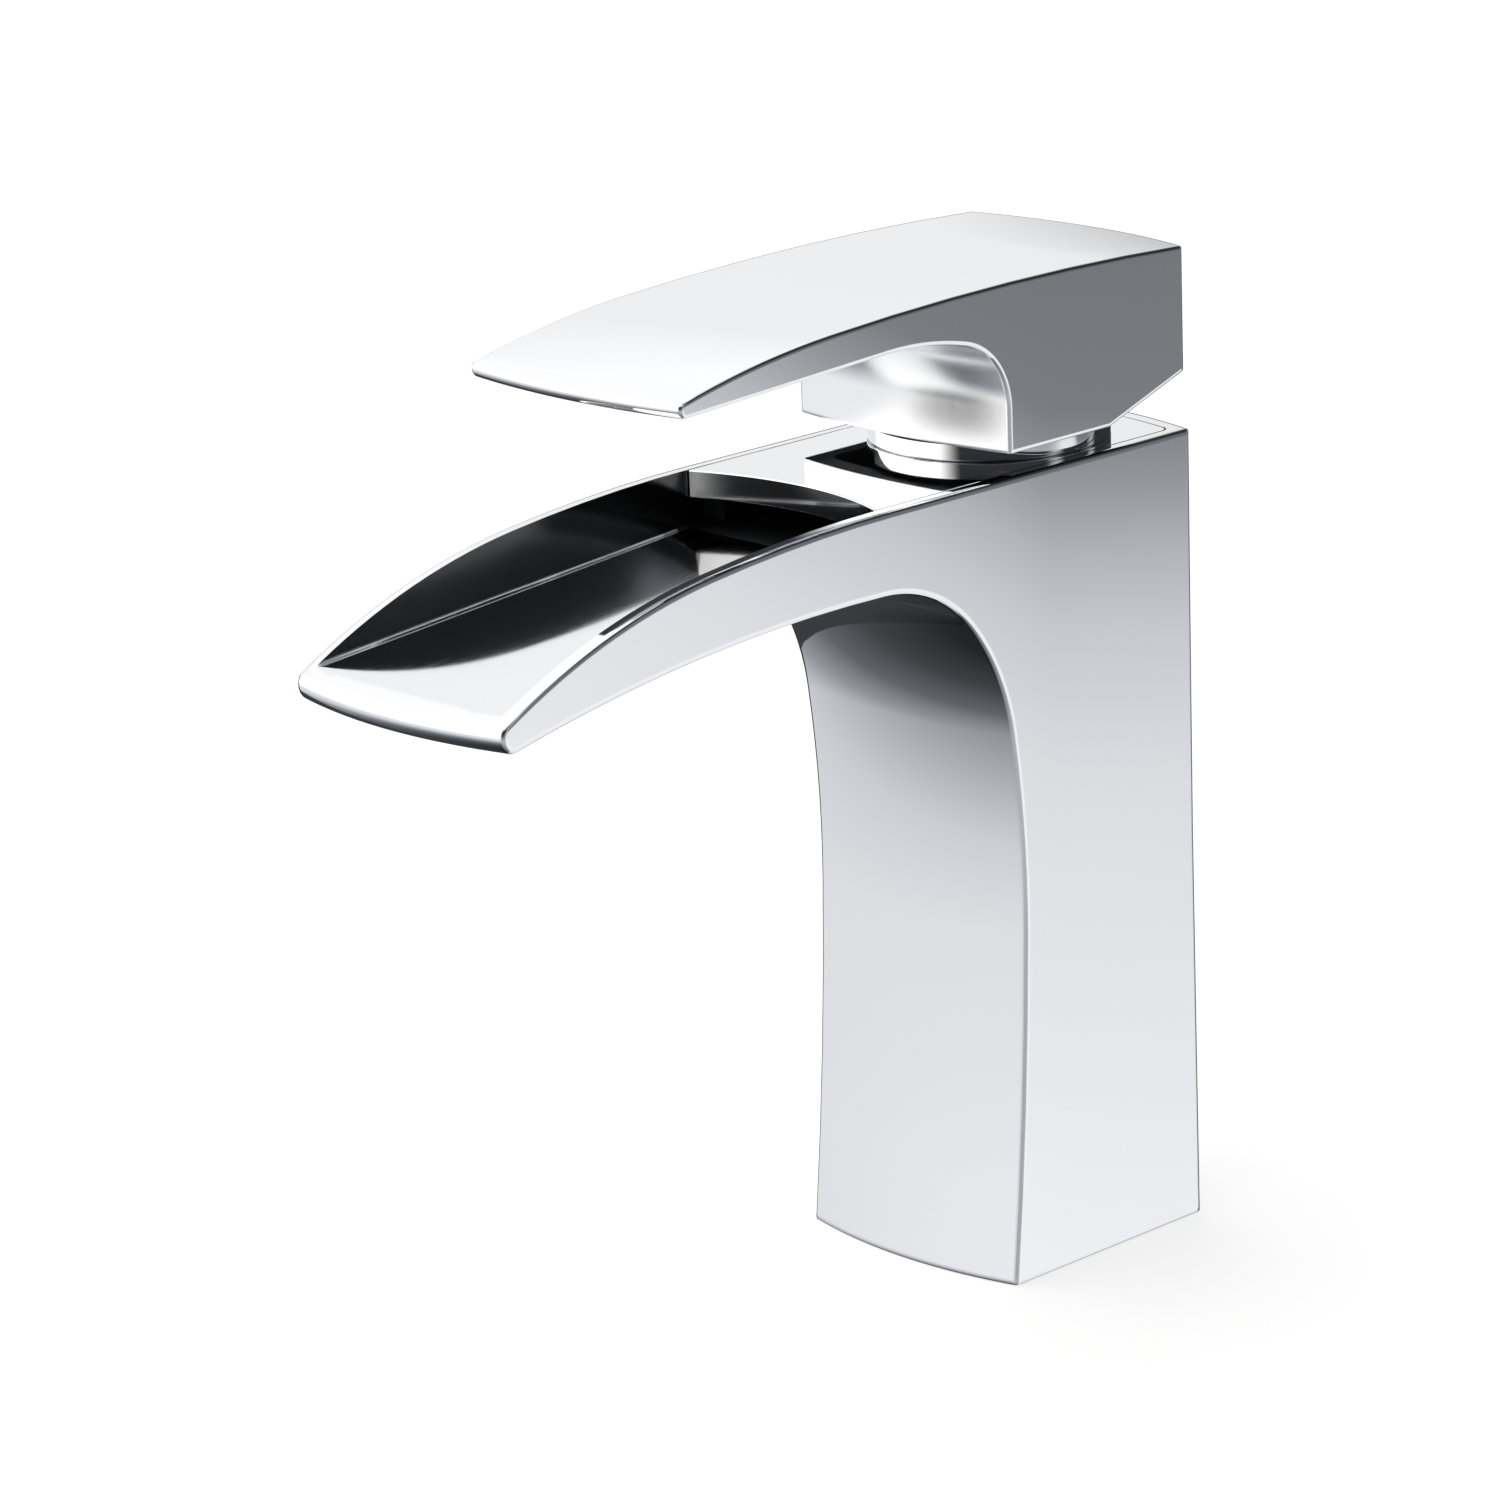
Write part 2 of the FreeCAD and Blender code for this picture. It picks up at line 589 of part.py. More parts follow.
def lever_stem():
    shank = block((-STEM_HALF_X, -STEM_HALF_Y, STEM_LOW), (STEM_HALF_X, STEM_HALF_Y, STEM_TOP))
    top_edges = [edge for edge in shank.Edges if edge.BoundBox.ZMin > STEM_TOP - 1e-6]
    shank = shank.makeChamfer(0.8, top_edges)
    arm = disc(ARM_R, BALL_Z, STEM_LOW + 1)
    ball = Part.makeSphere(BALL_R, Vector(0, 0, BALL_Z))
    return fused([shank, arm, ball]).cut(rod(PIN_R + 0.06, STEM_HALF_Y * 2, PIVOT_Z))


# ---- Clamping nut, its seal and the dress collar ----

def cartridge_nut():
    """Threaded ring that clamps the cartridge; its slotted sleeve passes through the cover plate."""
    outer = CHAMBER_R - THREAD_GAP
    inner = SLEEVE_R - SLEEVE_WALL
    nut = turned([(outer, NUT_LOW), (outer, NUT_SEAL_LOW), (NUT_SEAL_R, NUT_SEAL_LOW),
                  (NUT_SEAL_R, NUT_SEAL_TOP), (outer, NUT_SEAL_TOP), (outer, FLANGE_TOP),
                  (SLEEVE_R, FLANGE_TOP), (SLEEVE_R, SLEEVE_TOP), (inner, SLEEVE_TOP), (inner, FLANGE_TOP),
                  (FLANGE_BORE_R, FLANGE_TOP), (FLANGE_BORE_R, SHELL_TOP),
                  (NUT_BORE_R, SHELL_TOP), (NUT_BORE_R, NUT_LOW)])
    keyway = block((-outer, -KEYWAY_HALF, SLEEVE_TOP - KEYWAY_DEPTH), (outer, KEYWAY_HALF, SLEEVE_TOP))
    return nut.cut([about_axis(keyway.copy(), angle) for angle in (0, 90)])


def nut_seal():
    return ring(CHAMBER_R - THREAD_GAP, NUT_SEAL_R, NUT_SEAL_LOW, NUT_SEAL_TOP)


def collar_ring():
    """Dress ring screwed on the nut's sleeve; it holds the cover plate down."""
    sleeve_bore = SLEEVE_R + THREAD_GAP
    cap = COLLAR_TOP - COLLAR_CAP
    return turned([(COLLAR_R - COLLAR_EDGE, BODY_TOP), (COLLAR_R, BODY_TOP + COLLAR_EDGE),
                   (COLLAR_R, COLLAR_TOP - COLLAR_EDGE), (COLLAR_R - COLLAR_EDGE, COLLAR_TOP),
                   (FLANGE_BORE_R, COLLAR_TOP), (FLANGE_BORE_R, cap),
                   (sleeve_bore, cap), (sleeve_bore, BODY_TOP)])


# ---- Handle ----

def handle_outside():
    """The whole side outline swept across the width, then cut to the bowed rear in plan.
    The edges of the two side faces are rounded."""
    left = -HALF
    beyond = 40.0
    rear_edge = (HANDLE_REAR_Y, HANDLE_REAR_TOP)
    top = arc_chain([rear_edge, LEVER_SHOULDER, LEVER_LIP_TOP], LEVER_TOP_HEADING, left)
    lip = [arc_of(LEVER_LIP_TOP, LEVER_LIP_NOSE, LEVER_LIP_BOTTOM, left)]
    under = straight([LEVER_LIP_BOTTOM, LEVER_CROWN], left)
    hub = arc_chain([(HUB_FRONT_Y, HUB_FILLET_START), HUB_FILLET_END, LEVER_CROWN], 90, left)
    bevel_rise = (BEVEL_END_Z - HUB_BOTTOM) / (HANDLE_REAR_Y - BEVEL_START_Y)
    top_fall = math.tan(math.radians(LEVER_TOP_HEADING))
    rear_low = (beyond, HUB_BOTTOM + (beyond - BEVEL_START_Y) * bevel_rise)
    rear_high = (beyond, HANDLE_REAR_TOP + (beyond - HANDLE_REAR_Y) * top_fall)
    toe = EDGE_ROUND * (1 - math.sqrt(0.5))
    foot = straight([(HUB_FRONT_Y, HUB_FILLET_START), (HUB_FRONT_Y, HUB_BOTTOM + EDGE_ROUND)], left)
    foot.append(arc_of((HUB_FRONT_Y, HUB_BOTTOM + EDGE_ROUND), (HUB_FRONT_Y + toe, HUB_BOTTOM + toe),
                       (HUB_FRONT_Y + EDGE_ROUND, HUB_BOTTOM), left))
    foot += straight([(HUB_FRONT_Y + EDGE_ROUND, HUB_BOTTOM), (BEVEL_START_Y, HUB_BOTTOM), rear_low, rear_high,
                      rear_edge], left)
    bar = swept(top + lip + under + hub + foot, HANDLE_BOW, -1).common(handle_plan())
    return bar.makeFillet(EDGE_ROUND, crisp_edges(bar, lambda bounds: bounds.XLength < EDGE_ROUND * 3))


def handle_plan(gap=0.0):
    """Everything in front of the bowed rear face, less a gap."""
    low, high = 120.0, 180.0
    return prism(plan_wire(HALF, -100.0, HANDLE_REAR_Y - gap, HANDLE_BOW, HANDLE_REAR_BOW, low), high - low)


def hub_hollow():
    low = 120.0
    hollow = prism(plan_wire(HALF - HUB_WALL, HUB_FRONT_Y + HUB_WALL, HANDLE_REAR_Y - HUB_WALL, HANDLE_BOW,
                             HANDLE_REAR_BOW, low), HUB_CEILING - low)
    return hollow.makeFillet(HUB_CORNER_R, upright_edges(hollow, lambda x, y: True))


def handle():
    """Lever and hollow hub in one, with a square socket for the stem and a screw hole at the rear."""
    socket = block((-SOCKET_HALF_X, SOCKET_FRONT_Y, SOCKET_BOTTOM),
                   (SOCKET_HALF_X, SOCKET_REAR_Y, HUB_CEILING + 0.5))
    half_x, half_y = STEM_HALF_X + STEM_FIT, STEM_HALF_Y + STEM_FIT
    stem_hole = block((-half_x, -half_y, SOCKET_BOTTOM), (half_x, half_y, STEM_TOP + 0.5))
    screw_hole = bore_to_rear(GRUB_R, HALF, 0, GRUB_Z)
    plug_seat = bore_to_rear(PLUG_R, HALF, PLUG_SEAT_Y, GRUB_Z)
    return fused([handle_outside().cut(hub_hollow()), socket]).cut([stem_hole, screw_hole, plug_seat])


def grub_screw():
    screw = bore_to_rear(GRUB_R - STEM_FIT, GRUB_LENGTH, STEM_HALF_Y, GRUB_Z)
    mouth = STEM_HALF_Y + GRUB_LENGTH - GRUB_HEX_DEPTH
    corners = [Vector(GRUB_HEX_R * math.sin(turn), mouth, GRUB_Z + GRUB_HEX_R * math.cos(turn))
               for turn in [math.radians(60 * step) for step in range(7)]]
    return screw.cut(Part.Face(Part.makePolygon(corners)).extrude(Vector(0, GRUB_HEX_DEPTH, 0)))


def index_plug():
    """Small plug that closes the screw hole, a hair below the rear face."""
    return bore_to_rear(PLUG_R - STEM_FIT, HALF, PLUG_SEAT_Y, GRUB_Z).common(handle_plan(gap=0.1))


NODES = [
    spout_body, base_gasket, cover_plate, plate_gasket, collar_ring, cartridge_nut, nut_seal,
    cartridge_housing, cartridge_base, port_seals, disc_seals, fixed_disc, moving_disc, disc_carrier,
    stem_guide, stem_oring, stem_pin, lever_stem, handle, grub_screw, index_plug,
]

os.makedirs("parts", exist_ok=True)
for make in NODES:
    shape = make()
    name = make.__name__
    print(f"{name}: {len(shape.Solids)} solid, {shape.Volume / 1000:.2f} cm3, valid {shape.isValid()}")
    shape.exportStep(f"parts/{name}.step")
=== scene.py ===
import math

import bmesh
import bpy
from mathutils import Matrix, Vector


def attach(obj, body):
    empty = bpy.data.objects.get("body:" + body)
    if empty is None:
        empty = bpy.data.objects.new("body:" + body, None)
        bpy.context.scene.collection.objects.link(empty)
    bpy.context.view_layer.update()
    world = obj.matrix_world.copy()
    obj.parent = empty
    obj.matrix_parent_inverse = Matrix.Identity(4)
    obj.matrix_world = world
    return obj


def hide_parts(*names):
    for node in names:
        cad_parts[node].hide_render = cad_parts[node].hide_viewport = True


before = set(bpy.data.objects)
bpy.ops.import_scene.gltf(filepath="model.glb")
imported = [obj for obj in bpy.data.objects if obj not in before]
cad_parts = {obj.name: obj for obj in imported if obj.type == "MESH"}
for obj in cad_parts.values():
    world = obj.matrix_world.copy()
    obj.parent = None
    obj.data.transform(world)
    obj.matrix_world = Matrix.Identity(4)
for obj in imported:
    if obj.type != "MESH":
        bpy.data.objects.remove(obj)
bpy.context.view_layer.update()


# ---- Camera ----
# A long lens at the front right, a little above the spout, as in the photograph.
# The picture is square, and the lens suits a 36 mm wide sensor.

CAMERA_AT = (0.6248, -0.6453, 0.3468)
CAMERA_RIGHT = Vector((0.69472, 0.71840, -0.03527))
CAMERA_UP = Vector((-0.18144, 0.22249, 0.95789))

camera_data = bpy.data.cameras.new("camera")
camera_data.lens = 142.19
camera_data.sensor_width = 36.0
camera_data.clip_start = 0.05
camera_data.clip_end = 50.0
camera = bpy.data.objects.new("camera", camera_data)
camera_axes = Matrix((CAMERA_RIGHT, CAMERA_UP, CAMERA_RIGHT.cross(CAMERA_UP))).transposed()
camera.matrix_world = Matrix.Translation(CAMERA_AT) @ camera_axes.to_4x4()
bpy.context.scene.collection.objects.link(camera)
bpy.context.scene.camera = camera
bpy.context.scene.view_settings.view_transform = "Standard"


# ---- Studio: room, floor, backdrop and lamp ----
# White walls at the left and a white ceiling, with the rear and the side behind the camera unlit,
# as the chrome shows them. A white floor sheet keeps the object's soft shadow.

DARK_TINT = (0.90, 0.96, 1.04)    # what unlit parts of the room multiply red, green and blue by
SLANT_ZONE = (20, 70, 16)         # azimuths from and to, and softness, in degrees
SLANT_FROM, SLANT_TO = (38, -5), (46.5, 0)    # azimuth and how far an edge is shifted up there
FLOOR_HALF = 6.0                  # metres
FLOOR_DROP = 0.05                 # millimetres below the foot
FLOOR_GREY, FLOOR_GLOW = 0.42, 0.70
LAMP_AT, LAMP_TARGET = (-0.5, -0.3, 1.6), (0, 0, 0.08)
LAMP_SIZE, LAMP_POWER = (1.6, 1.2), 8.0
mm = 0.001                        # one millimetre in Blender's metres

world = bpy.data.worlds.new("studio_room")
bpy.context.scene.world = world
world.use_nodes = True
room = world.node_tree
room.nodes.clear()


def join(tree, start, end):
    tree.links.new(start, end)


def fill(tree, socket, value):
    """Give a socket a value, or join another node's output to it."""
    if isinstance(value, bpy.types.NodeSocket):
        join(tree, value, socket)
    else:
        socket.default_value = value


def node(tree, kind, values=(), **settings):
    """A new node with its settings and (socket, value) pairs."""
    made = tree.nodes.new(kind)
    for name, value in settings.items():
        setattr(made, name, value)
    for socket, value in values:
        fill(tree, made.inputs[socket], value)
    return made


def maths(tree, operation, *values):
    """The result of a maths node on values or sockets."""
    return node(tree, "ShaderNodeMath", enumerate(values), operation=operation).outputs[0]


def mixed(tree, factor, first, second):
    """Colour that goes from first to second with the factor."""
    return node(tree, "ShaderNodeMix", [("Factor", factor), ("A", first), ("B", second)],
                data_type="RGBA").outputs["Result"]


def ramp(tree, factor, stops):
    """Grey ramp through (place, brightness) stops; the darker, the bluer."""
    made = node(tree, "ShaderNodeValToRGB", [("Fac", factor)])
    elements = made.color_ramp.elements
    while len(elements) < len(stops):
        elements.new(0.5)
    for element, (place, grey) in zip(elements, stops):
        element.position = place
        element.color = (*(grey * (tint + (1 - tint) * grey) for tint in DARK_TINT), 1)
    return made.outputs[0]


def between(tree, value, low, high, soft):
    """1 between low and high, falling smoothly to 0 over soft on either side."""
    edges = ((low - soft / 2, low + soft / 2), (high + soft / 2, high - soft / 2))
    steps = [node(tree, "ShaderNodeMapRange", [("Value", value), ("From Min", start), ("From Max", end)],
                  interpolation_type="SMOOTHSTEP").outputs[0] for start, end in edges]
    return maths(tree, "MULTIPLY", *steps)


heading = node(room, "ShaderNodeTexCoord").outputs["Generated"]
parts = node(room, "ShaderNodeSeparateXYZ", [("Vector", heading)]).outputs
elevation = maths(room, "MULTIPLY", maths(room, "ARCSINE", parts["Z"]), 180 / math.pi)
azimuth = maths(room, "MULTIPLY", maths(room, "ARCTAN2", parts["Y"], parts["X"]), 180 / math.pi)

# At the right the room's edges slope, so they are a little higher towards the camera side.
slope = node(room, "ShaderNodeMapRange", [
    ("Value", azimuth), ("From Min", SLANT_FROM[0]), ("From Max", SLANT_TO[0]),
    ("To Min", SLANT_FROM[1]), ("To Max", SLANT_TO[1])]).outputs[0]
slanted = maths(room, "MULTIPLY_ADD", slope, between(room, azimuth, *SLANT_ZONE), elevation)


def by_elevation(*stops):
    """Brightness of the room from stops of (elevation in degrees, brightness)."""
    place = maths(room, "MULTIPLY_ADD", slanted, 1 / 180, 0.5)
    return ramp(room, place, [(0.5 + degrees / 180, grey) for degrees, grey in stops])


# The white walls, then each other part of the room: azimuths from and to, softness, and its
# brightness by elevation. The parts are the rear left, white above a dark floor, the unlit camera
# side, the right with its bright floor, and the unlit rear.
shade = by_elevation(
    (-90, 0.012), (-60, 0.02), (-48, 0.06), (-38, 0.14), (-30, 0.33), (-22, 0.68), (-12, 0.88),
    (-4, 1.50), (30, 1.40), (50, 1.10))
for low, high, soft, brightness in (
        (116, 190, 24, by_elevation(
            (-60, 0.014), (-46, 0.05), (-14, 0.05), (3, 0.05), (9, 0.90), (20, 0.93), (28, 1.06),
            (60, 1.08))),
        (-87, 22, 30, by_elevation(
            (-90, 0.05), (-40, 0.30), (-22, 0.50), (-12, 0.40), (-4, 0.20), (3, 0.09), (10, 0.04),
            (22, 0.02), (34, 0.20), (46, 1.0))),
        (22, 66, 16, by_elevation(
            (-90, 0.3), (-60, 0.8), (-22, 0.95), (-17, 0.80), (-15.2, 0.61), (-13.6, 0.23), (-10, 0.18),
            (-2, 0.15), (6, 0.03), (34, 0.03), (52, 0.05), (64, 0.8))),
        (66, 126, 16, by_elevation(
            (-50, 0.5), (-26, 0.05), (20, 0.03), (54, 0.05), (66, 1.0)))):
    shade = mixed(room, between(room, azimuth, low, high, soft), shade, brightness)
background = node(room, "ShaderNodeBackground", [("Color", shade)])
join(room, background.outputs[0], node(room, "ShaderNodeOutputWorld").inputs["Surface"])

bpy.ops.object.select_all(action="DESELECT")
bpy.ops.mesh.primitive_plane_add(size=2 * FLOOR_HALF, location=(0, 0, -FLOOR_DROP * mm))
floor = bpy.context.object
floor.name = floor.data.name = "floor_sheet"
bpy.ops.object.transform_apply(location=True, rotation=True, scale=True)
bpy.ops.mesh.primitive_uv_sphere_add(segments=64, ring_count=32, radius=FLOOR_HALF)
backdrop = bpy.context.object
backdrop.name = backdrop.data.name = "backdrop"
for sheet in (floor, backdrop):
    sheet.visible_glossy = False
backdrop.visible_diffuse = backdrop.visible_shadow = False


def paper(name, colour, glow):
    """White paper that looks evenly lit, and still takes a shadow where it has a colour."""
    made = bpy.data.materials.new(name)
    made.use_nodes = True
    tree = made.node_tree
    tree.nodes.clear()
    rays = node(tree, "ShaderNodeLightPath").outputs
    mirrored = maths(tree, "MAXIMUM", rays["Is Glossy Ray"], rays["Is Transmission Ray"])
    seen = maths(tree, "MAXIMUM", rays["Is Camera Ray"], mirrored)
    sheet = node(tree, "ShaderNodeBsdfDiffuse", [("Color", (colour, colour, colour, 1))])
    light = node(tree, "ShaderNodeEmission", [("Color", (1, 1, 1, 1)),
                                              ("Strength", maths(tree, "MULTIPLY", seen, glow))])
    both = node(tree, "ShaderNodeAddShader", [(0, sheet.outputs[0]), (1, light.outputs[0])])
    join(tree, both.outputs[0], node(tree, "ShaderNodeOutputMaterial").inputs["Surface"])
    return made


floor.data.materials.append(paper("floor_paper", FLOOR_GREY, FLOOR_GLOW))
backdrop.data.materials.append(paper("backdrop_paper", 0.0, 1.0))


def soft_lamp(name, place, target, size, power):
    """Rectangular soft lamp that the chrome doesn't show."""
    data = bpy.data.lights.new(name, "AREA")
    data.shape = "RECTANGLE"
    data.size, data.size_y = size
    data.energy = power
    lamp = bpy.data.objects.new(name, data)
    lamp.location = place
    lamp.rotation_euler = (Vector(target) - Vector(place)).to_track_quat("-Z", "Y").to_euler()
    lamp.visible_glossy = False
    lamp.visible_camera = False
    bpy.context.scene.collection.objects.link(lamp)


soft_lamp("overhead_softbox", LAMP_AT, LAMP_TARGET, LAMP_SIZE, LAMP_POWER)


# ---- Cast body ----
# The column and the open spout, cast in one in brass, ground, polished and chrome plated.
# Its side outline is carried across the width along a bowed line; the trough and seat are cut in.

HALF = 22.5                   # half of the 45 mm width; all sizes are in millimetres
BODY_TOP = 130.0
BODY_BOW = 85.0               # radius of the bow across the front and the rear
REAR_Y = 21.5
REAR_HOLLOW = 0.3
# Side outline as (y, z) points that arcs run through, up the front and out along the underside.
FRONT = [(-21.6, 0.0), (-17.6, 57.0), (-19.5, 89.6), (-27.7, 108.2), (-46.0, 117.2), (-120.5, 110.1)]
FOOT_HEADING = 83.6
LIP = [(-120.5, 110.1), (-122.5, 112.3), (-121.8, 114.4)]
RIM_LINE = [(-44.0, 130.0), (-81.1, 127.7), (-121.8, 114.4)]
RIM = 2.1
TROUGH_HALF = HALF - RIM
TROUGH_BACK_Y = -40.0
TROUGH_FRONT_Y, TROUGH_ABOVE = -135.0, 145.0
FLOOR_AT = (-44.0, 121.3)
FLOOR_SLOPE = math.tan(math.radians(4.4))
TROUGH_CORNER = 0.45
PLENUM_HALF, PLENUM_Y, PLENUM_FLOOR = 18.2, (-46.4, -23.0), 121.1
DUCT_HALF, DUCT_Y, DUCT_LOW = 12.0, (-28.5, -21.6), 113.0
WINDOW_HALF, WINDOW_Y, WINDOW_TOP = 9.0, (-26.0, -15.0), 117.0
CHAMBER_R, CHAMBER_FLOOR = 19.0, 94.0
CUT_TOP = 131.0               # cutting tools end above the body's top
SEAT_Z = 127.2
SEAT_CORNER = 1.6
SEAT_TOOL_TOP = 146.0
PLATE_SIDE_Y = -45.4
CAVITY_LOW_HALF, CAVITY_LOW_Y = 19.0, 18.2
CAVITY_HIGH_HALF, CAVITY_HIGH_Y, CAVITY_TOP = 18.4, (-14.2, 17.8), 64.0
BOSS_R, STUD_R, STUD_DEPTH = 6.5, 4.0, 25.0
GROOVE_DEPTH, GROOVE_INSETS = 1.6, (1.0, 2.6)
HOSE_R, HOSE_X, HOSE_Z = 5.0, 12.5, (63.0, 76.0)
DRILL_R, DRILL_FROM_Z, DRILL_TO = 3.4, 74.0, (6.2, -4.5, 95.0)
PEG_R, PEG_AT, PEG_Z = 2.1, (12.0, 8.0), (90.0, 95.0)
EDGE_ROUND = 0.4
EDGE_BAND = 1.0
SHARP_EDGE, SMOOTH_BELOW = math.radians(28), math.radians(40)
SHORTEST = 0.5                # shortest side of an arc, longer than an edge round
TOUCH = 0.01                  # how near counts as touching
SAME_POINT = 0.001            # points this near are one


def pick(piece):
    """Make one piece active and the only one selected."""
    bpy.ops.object.select_all(action="DESELECT")
    piece.select_set(True)
    bpy.context.view_layer.objects.active = piece


def name_piece(name):
    piece = bpy.context.object
    piece.name = piece.data.name = name
    return piece


def arcs(points, heading):
    """Arcs through the points that run into each other: (start, end, heading, turn)."""
    found = []
    for start, end in zip(points, points[1:]):
        chord = math.atan2(end[1] - start[1], end[0] - start[0])
        turn = 2 * math.remainder(chord - heading, math.tau)
        found.append((start, end, heading, turn))
        heading += turn
    return found


def backwards(run):
    return [(end, start, heading + turn + math.pi, -turn) for start, end, heading, turn in reversed(run)]


def arc_through(start, middle, end):
    """The one arc through three points."""
    first = math.atan2(middle[1] - start[1], middle[0] - start[0])
    second = math.atan2(end[1] - middle[1], end[0] - middle[0])
    whole = math.atan2(end[1] - start[1], end[0] - start[0])
    half_turn = math.remainder(second - first, math.tau)
    return [(start, end, whole - half_turn, 2 * half_turn)]


def straight(*points):
    return [(start, end, 0.0, 0.0) for start, end in zip(points, points[1:])]


def drawn(name, run, level, side_view=True, finest=1.5):
    """A face in edit mode, drawn by carrying one corner point along a closed run of arcs and
    straights in millimetres. It lies in the plane x = level (side view) or z = level (plan)."""
    def place(a, b):
        return Vector((level, a, b)) * mm if side_view else Vector((a, b, level)) * mm

    axis = (1, 0, 0) if side_view else (0, 0, 1)
    bpy.ops.object.select_all(action="DESELECT")
    bpy.ops.mesh.primitive_plane_add(size=mm)
    piece = name_piece(name)
    bpy.ops.object.mode_set(mode="EDIT")
    bpy.ops.mesh.select_mode(type="VERT")
    bpy.ops.mesh.select_all(action="SELECT")
    bpy.ops.mesh.merge(type="CENTER")
    bpy.ops.transform.translate(value=place(*run[0][0]))
    for start, end, heading, turn in run:
        if not turn:
            bpy.ops.mesh.extrude_vertices_move(
                TRANSFORM_OT_translate={"value": place(*end) - place(*start)})
            continue
        radius = math.dist(start, end) / 2 / math.sin(turn / 2)
        centre = place(start[0] - radius * math.sin(heading), start[1] + radius * math.cos(heading))
        steps = max(2, math.ceil(min(abs(math.degrees(turn)) / finest, abs(radius * turn) / SHORTEST)))
        bpy.ops.mesh.spin(steps=steps, angle=-turn, center=centre, axis=axis)
    bpy.ops.mesh.select_all(action="SELECT")
    bpy.ops.mesh.remove_doubles(threshold=SAME_POINT * mm)
    bpy.ops.mesh.select_all(action="SELECT")
    bpy.ops.mesh.edge_face_add()
    bpy.ops.mesh.select_mode(type="FACE")
    bpy.ops.mesh.select_all(action="SELECT")
    return piece


def choose(piece, test, kind="VERT"):
    """Select the points, edges or faces that pass a test of their place in millimetres."""
    bpy.ops.mesh.select_mode(type=kind)
    bpy.ops.mesh.select_all(action="DESELECT")
    shape = bmesh.from_edit_mesh(piece.data)
    if kind == "VERT":
        for point in shape.verts:
            point.select = test(point.co / mm)
    elif kind == "EDGE":
        for edge in shape.edges:
            edge.select = all(test(point.co / mm) for point in edge.verts)
    else:
        for face in shape.faces:
            face.select = test(face.calc_center_median() / mm, face.normal)
    shape.select_flush_mode()
    bmesh.update_edit_mesh(piece.data)


def slices(half, extra=(), steps=30, gap=0.4):
    """Places across the width; the extra ones on both sides replace those nearer than the gap."""
    places = [half * (2 * step / steps - 1) for step in range(steps + 1)]
    for place in extra:
        places = [x for x in places if abs(abs(x) - place) > gap] + [-place, place]
    return sorted(places)


def bow(radius, half, x):
    """How far a bowed line of that radius stands out at x from its ends at half the width."""
    return math.sqrt(radius ** 2 - x ** 2) - math.sqrt(radius ** 2 - half ** 2)


def carry_across(places):
    for x0, x1 in zip(places, places[1:]):
        bpy.ops.mesh.extrude_region_move(TRANSFORM_OT_translate={"value": ((x1 - x0) * mm, 0, 0)})


def raise_by(height):
    bpy.ops.mesh.extrude_region_move(TRANSFORM_OT_translate={"value": (0, 0, height * mm)})


def close_mesh():
    bpy.ops.mesh.select_mode(type="VERT")
    bpy.ops.mesh.select_all(action="SELECT")
    bpy.ops.mesh.remove_doubles(threshold=SAME_POINT * mm)
    bpy.ops.mesh.normals_make_consistent(inside=False)
    bpy.ops.object.mode_set(mode="OBJECT")


def apply_modifier(piece, kind, **settings):
    pick(piece)
    made = piece.modifiers.new("shaping", kind)
    for name, value in settings.items():
        setattr(made, name, value)
    bpy.ops.object.modifier_apply(modifier=made.name)


def round_edges(piece, width, band=0.0, has_band=None, segments=2):
    """Small rounds on all sharp edges. A band beside each round keeps the shading's fall-off narrow,
    as a polishing mop leaves it; the test of an edge's two ends says which edges have one."""
    for offset, steps, profile, test in ((band, 2, 1.0, has_band), (width, segments, 0.5, None)):
        if not offset:
            continue
        pick(piece)
        bpy.ops.object.mode_set(mode="EDIT")
        bpy.ops.mesh.select_mode(type="EDGE")
        bpy.ops.mesh.select_all(action="DESELECT")
        bpy.ops.mesh.edges_select_sharp(sharpness=SHARP_EDGE)
        shape = bmesh.from_edit_mesh(piece.data)
        for edge in shape.edges:
            if test and not test(*(point.co / mm for point in edge.verts)):
                edge.select = False
        bmesh.update_edit_mesh(piece.data)
        bpy.ops.mesh.bevel(offset=offset * mm, segments=steps, profile=profile, affect="EDGES")
        bpy.ops.object.mode_set(mode="OBJECT")


def combine(piece, tools, operation):
    """Cut away or add tool pieces, which are used up."""
    for tool in tools:
        apply_modifier(piece, "BOOLEAN", operation=operation, object=tool, solver="EXACT")
        bpy.data.objects.remove(tool)


def box_tool(low, high):
    """Block between two corners, in millimetres."""
    bpy.ops.object.select_all(action="DESELECT")
    middle = [(a + b) / 2 * mm for a, b in zip(low, high)]
    bpy.ops.mesh.primitive_cube_add(size=1.0, location=middle)
    bpy.context.object.scale = [abs(b - a) * mm for a, b in zip(low, high)]
    bpy.ops.object.transform_apply(location=True, rotation=True, scale=True)
    return name_piece("tool")


def rod_tool(radius, start, end, sides=96):
    """Round bar between two points, in millimetres."""
    run = Vector(end) - Vector(start)
    bpy.ops.object.select_all(action="DESELECT")
    bpy.ops.mesh.primitive_cylinder_add(vertices=sides, radius=radius * mm, depth=run.length * mm,
                                        location=(Vector(start) + Vector(end)) / 2 * mm,
                                        rotation=run.to_track_quat("Z", "Y").to_euler())
    bpy.ops.object.transform_apply(location=True, rotation=True, scale=True)
    return name_piece("tool")


def plan_run(half, front_y, rear_y, front_bow=BODY_BOW, rear_bow=BODY_BOW):
    """Plan outline with straight sides and bowed ends; front_y and rear_y are at the corners."""
    return (arc_through((-half, front_y), (0, front_y - bow(front_bow, half, 0)), (half, front_y))
            + straight((half, front_y), (half, rear_y))
            + arc_through((half, rear_y), (0, rear_y + bow(rear_bow, half, 0)), (-half, rear_y))
            + straight((-half, rear_y), (-half, front_y)))


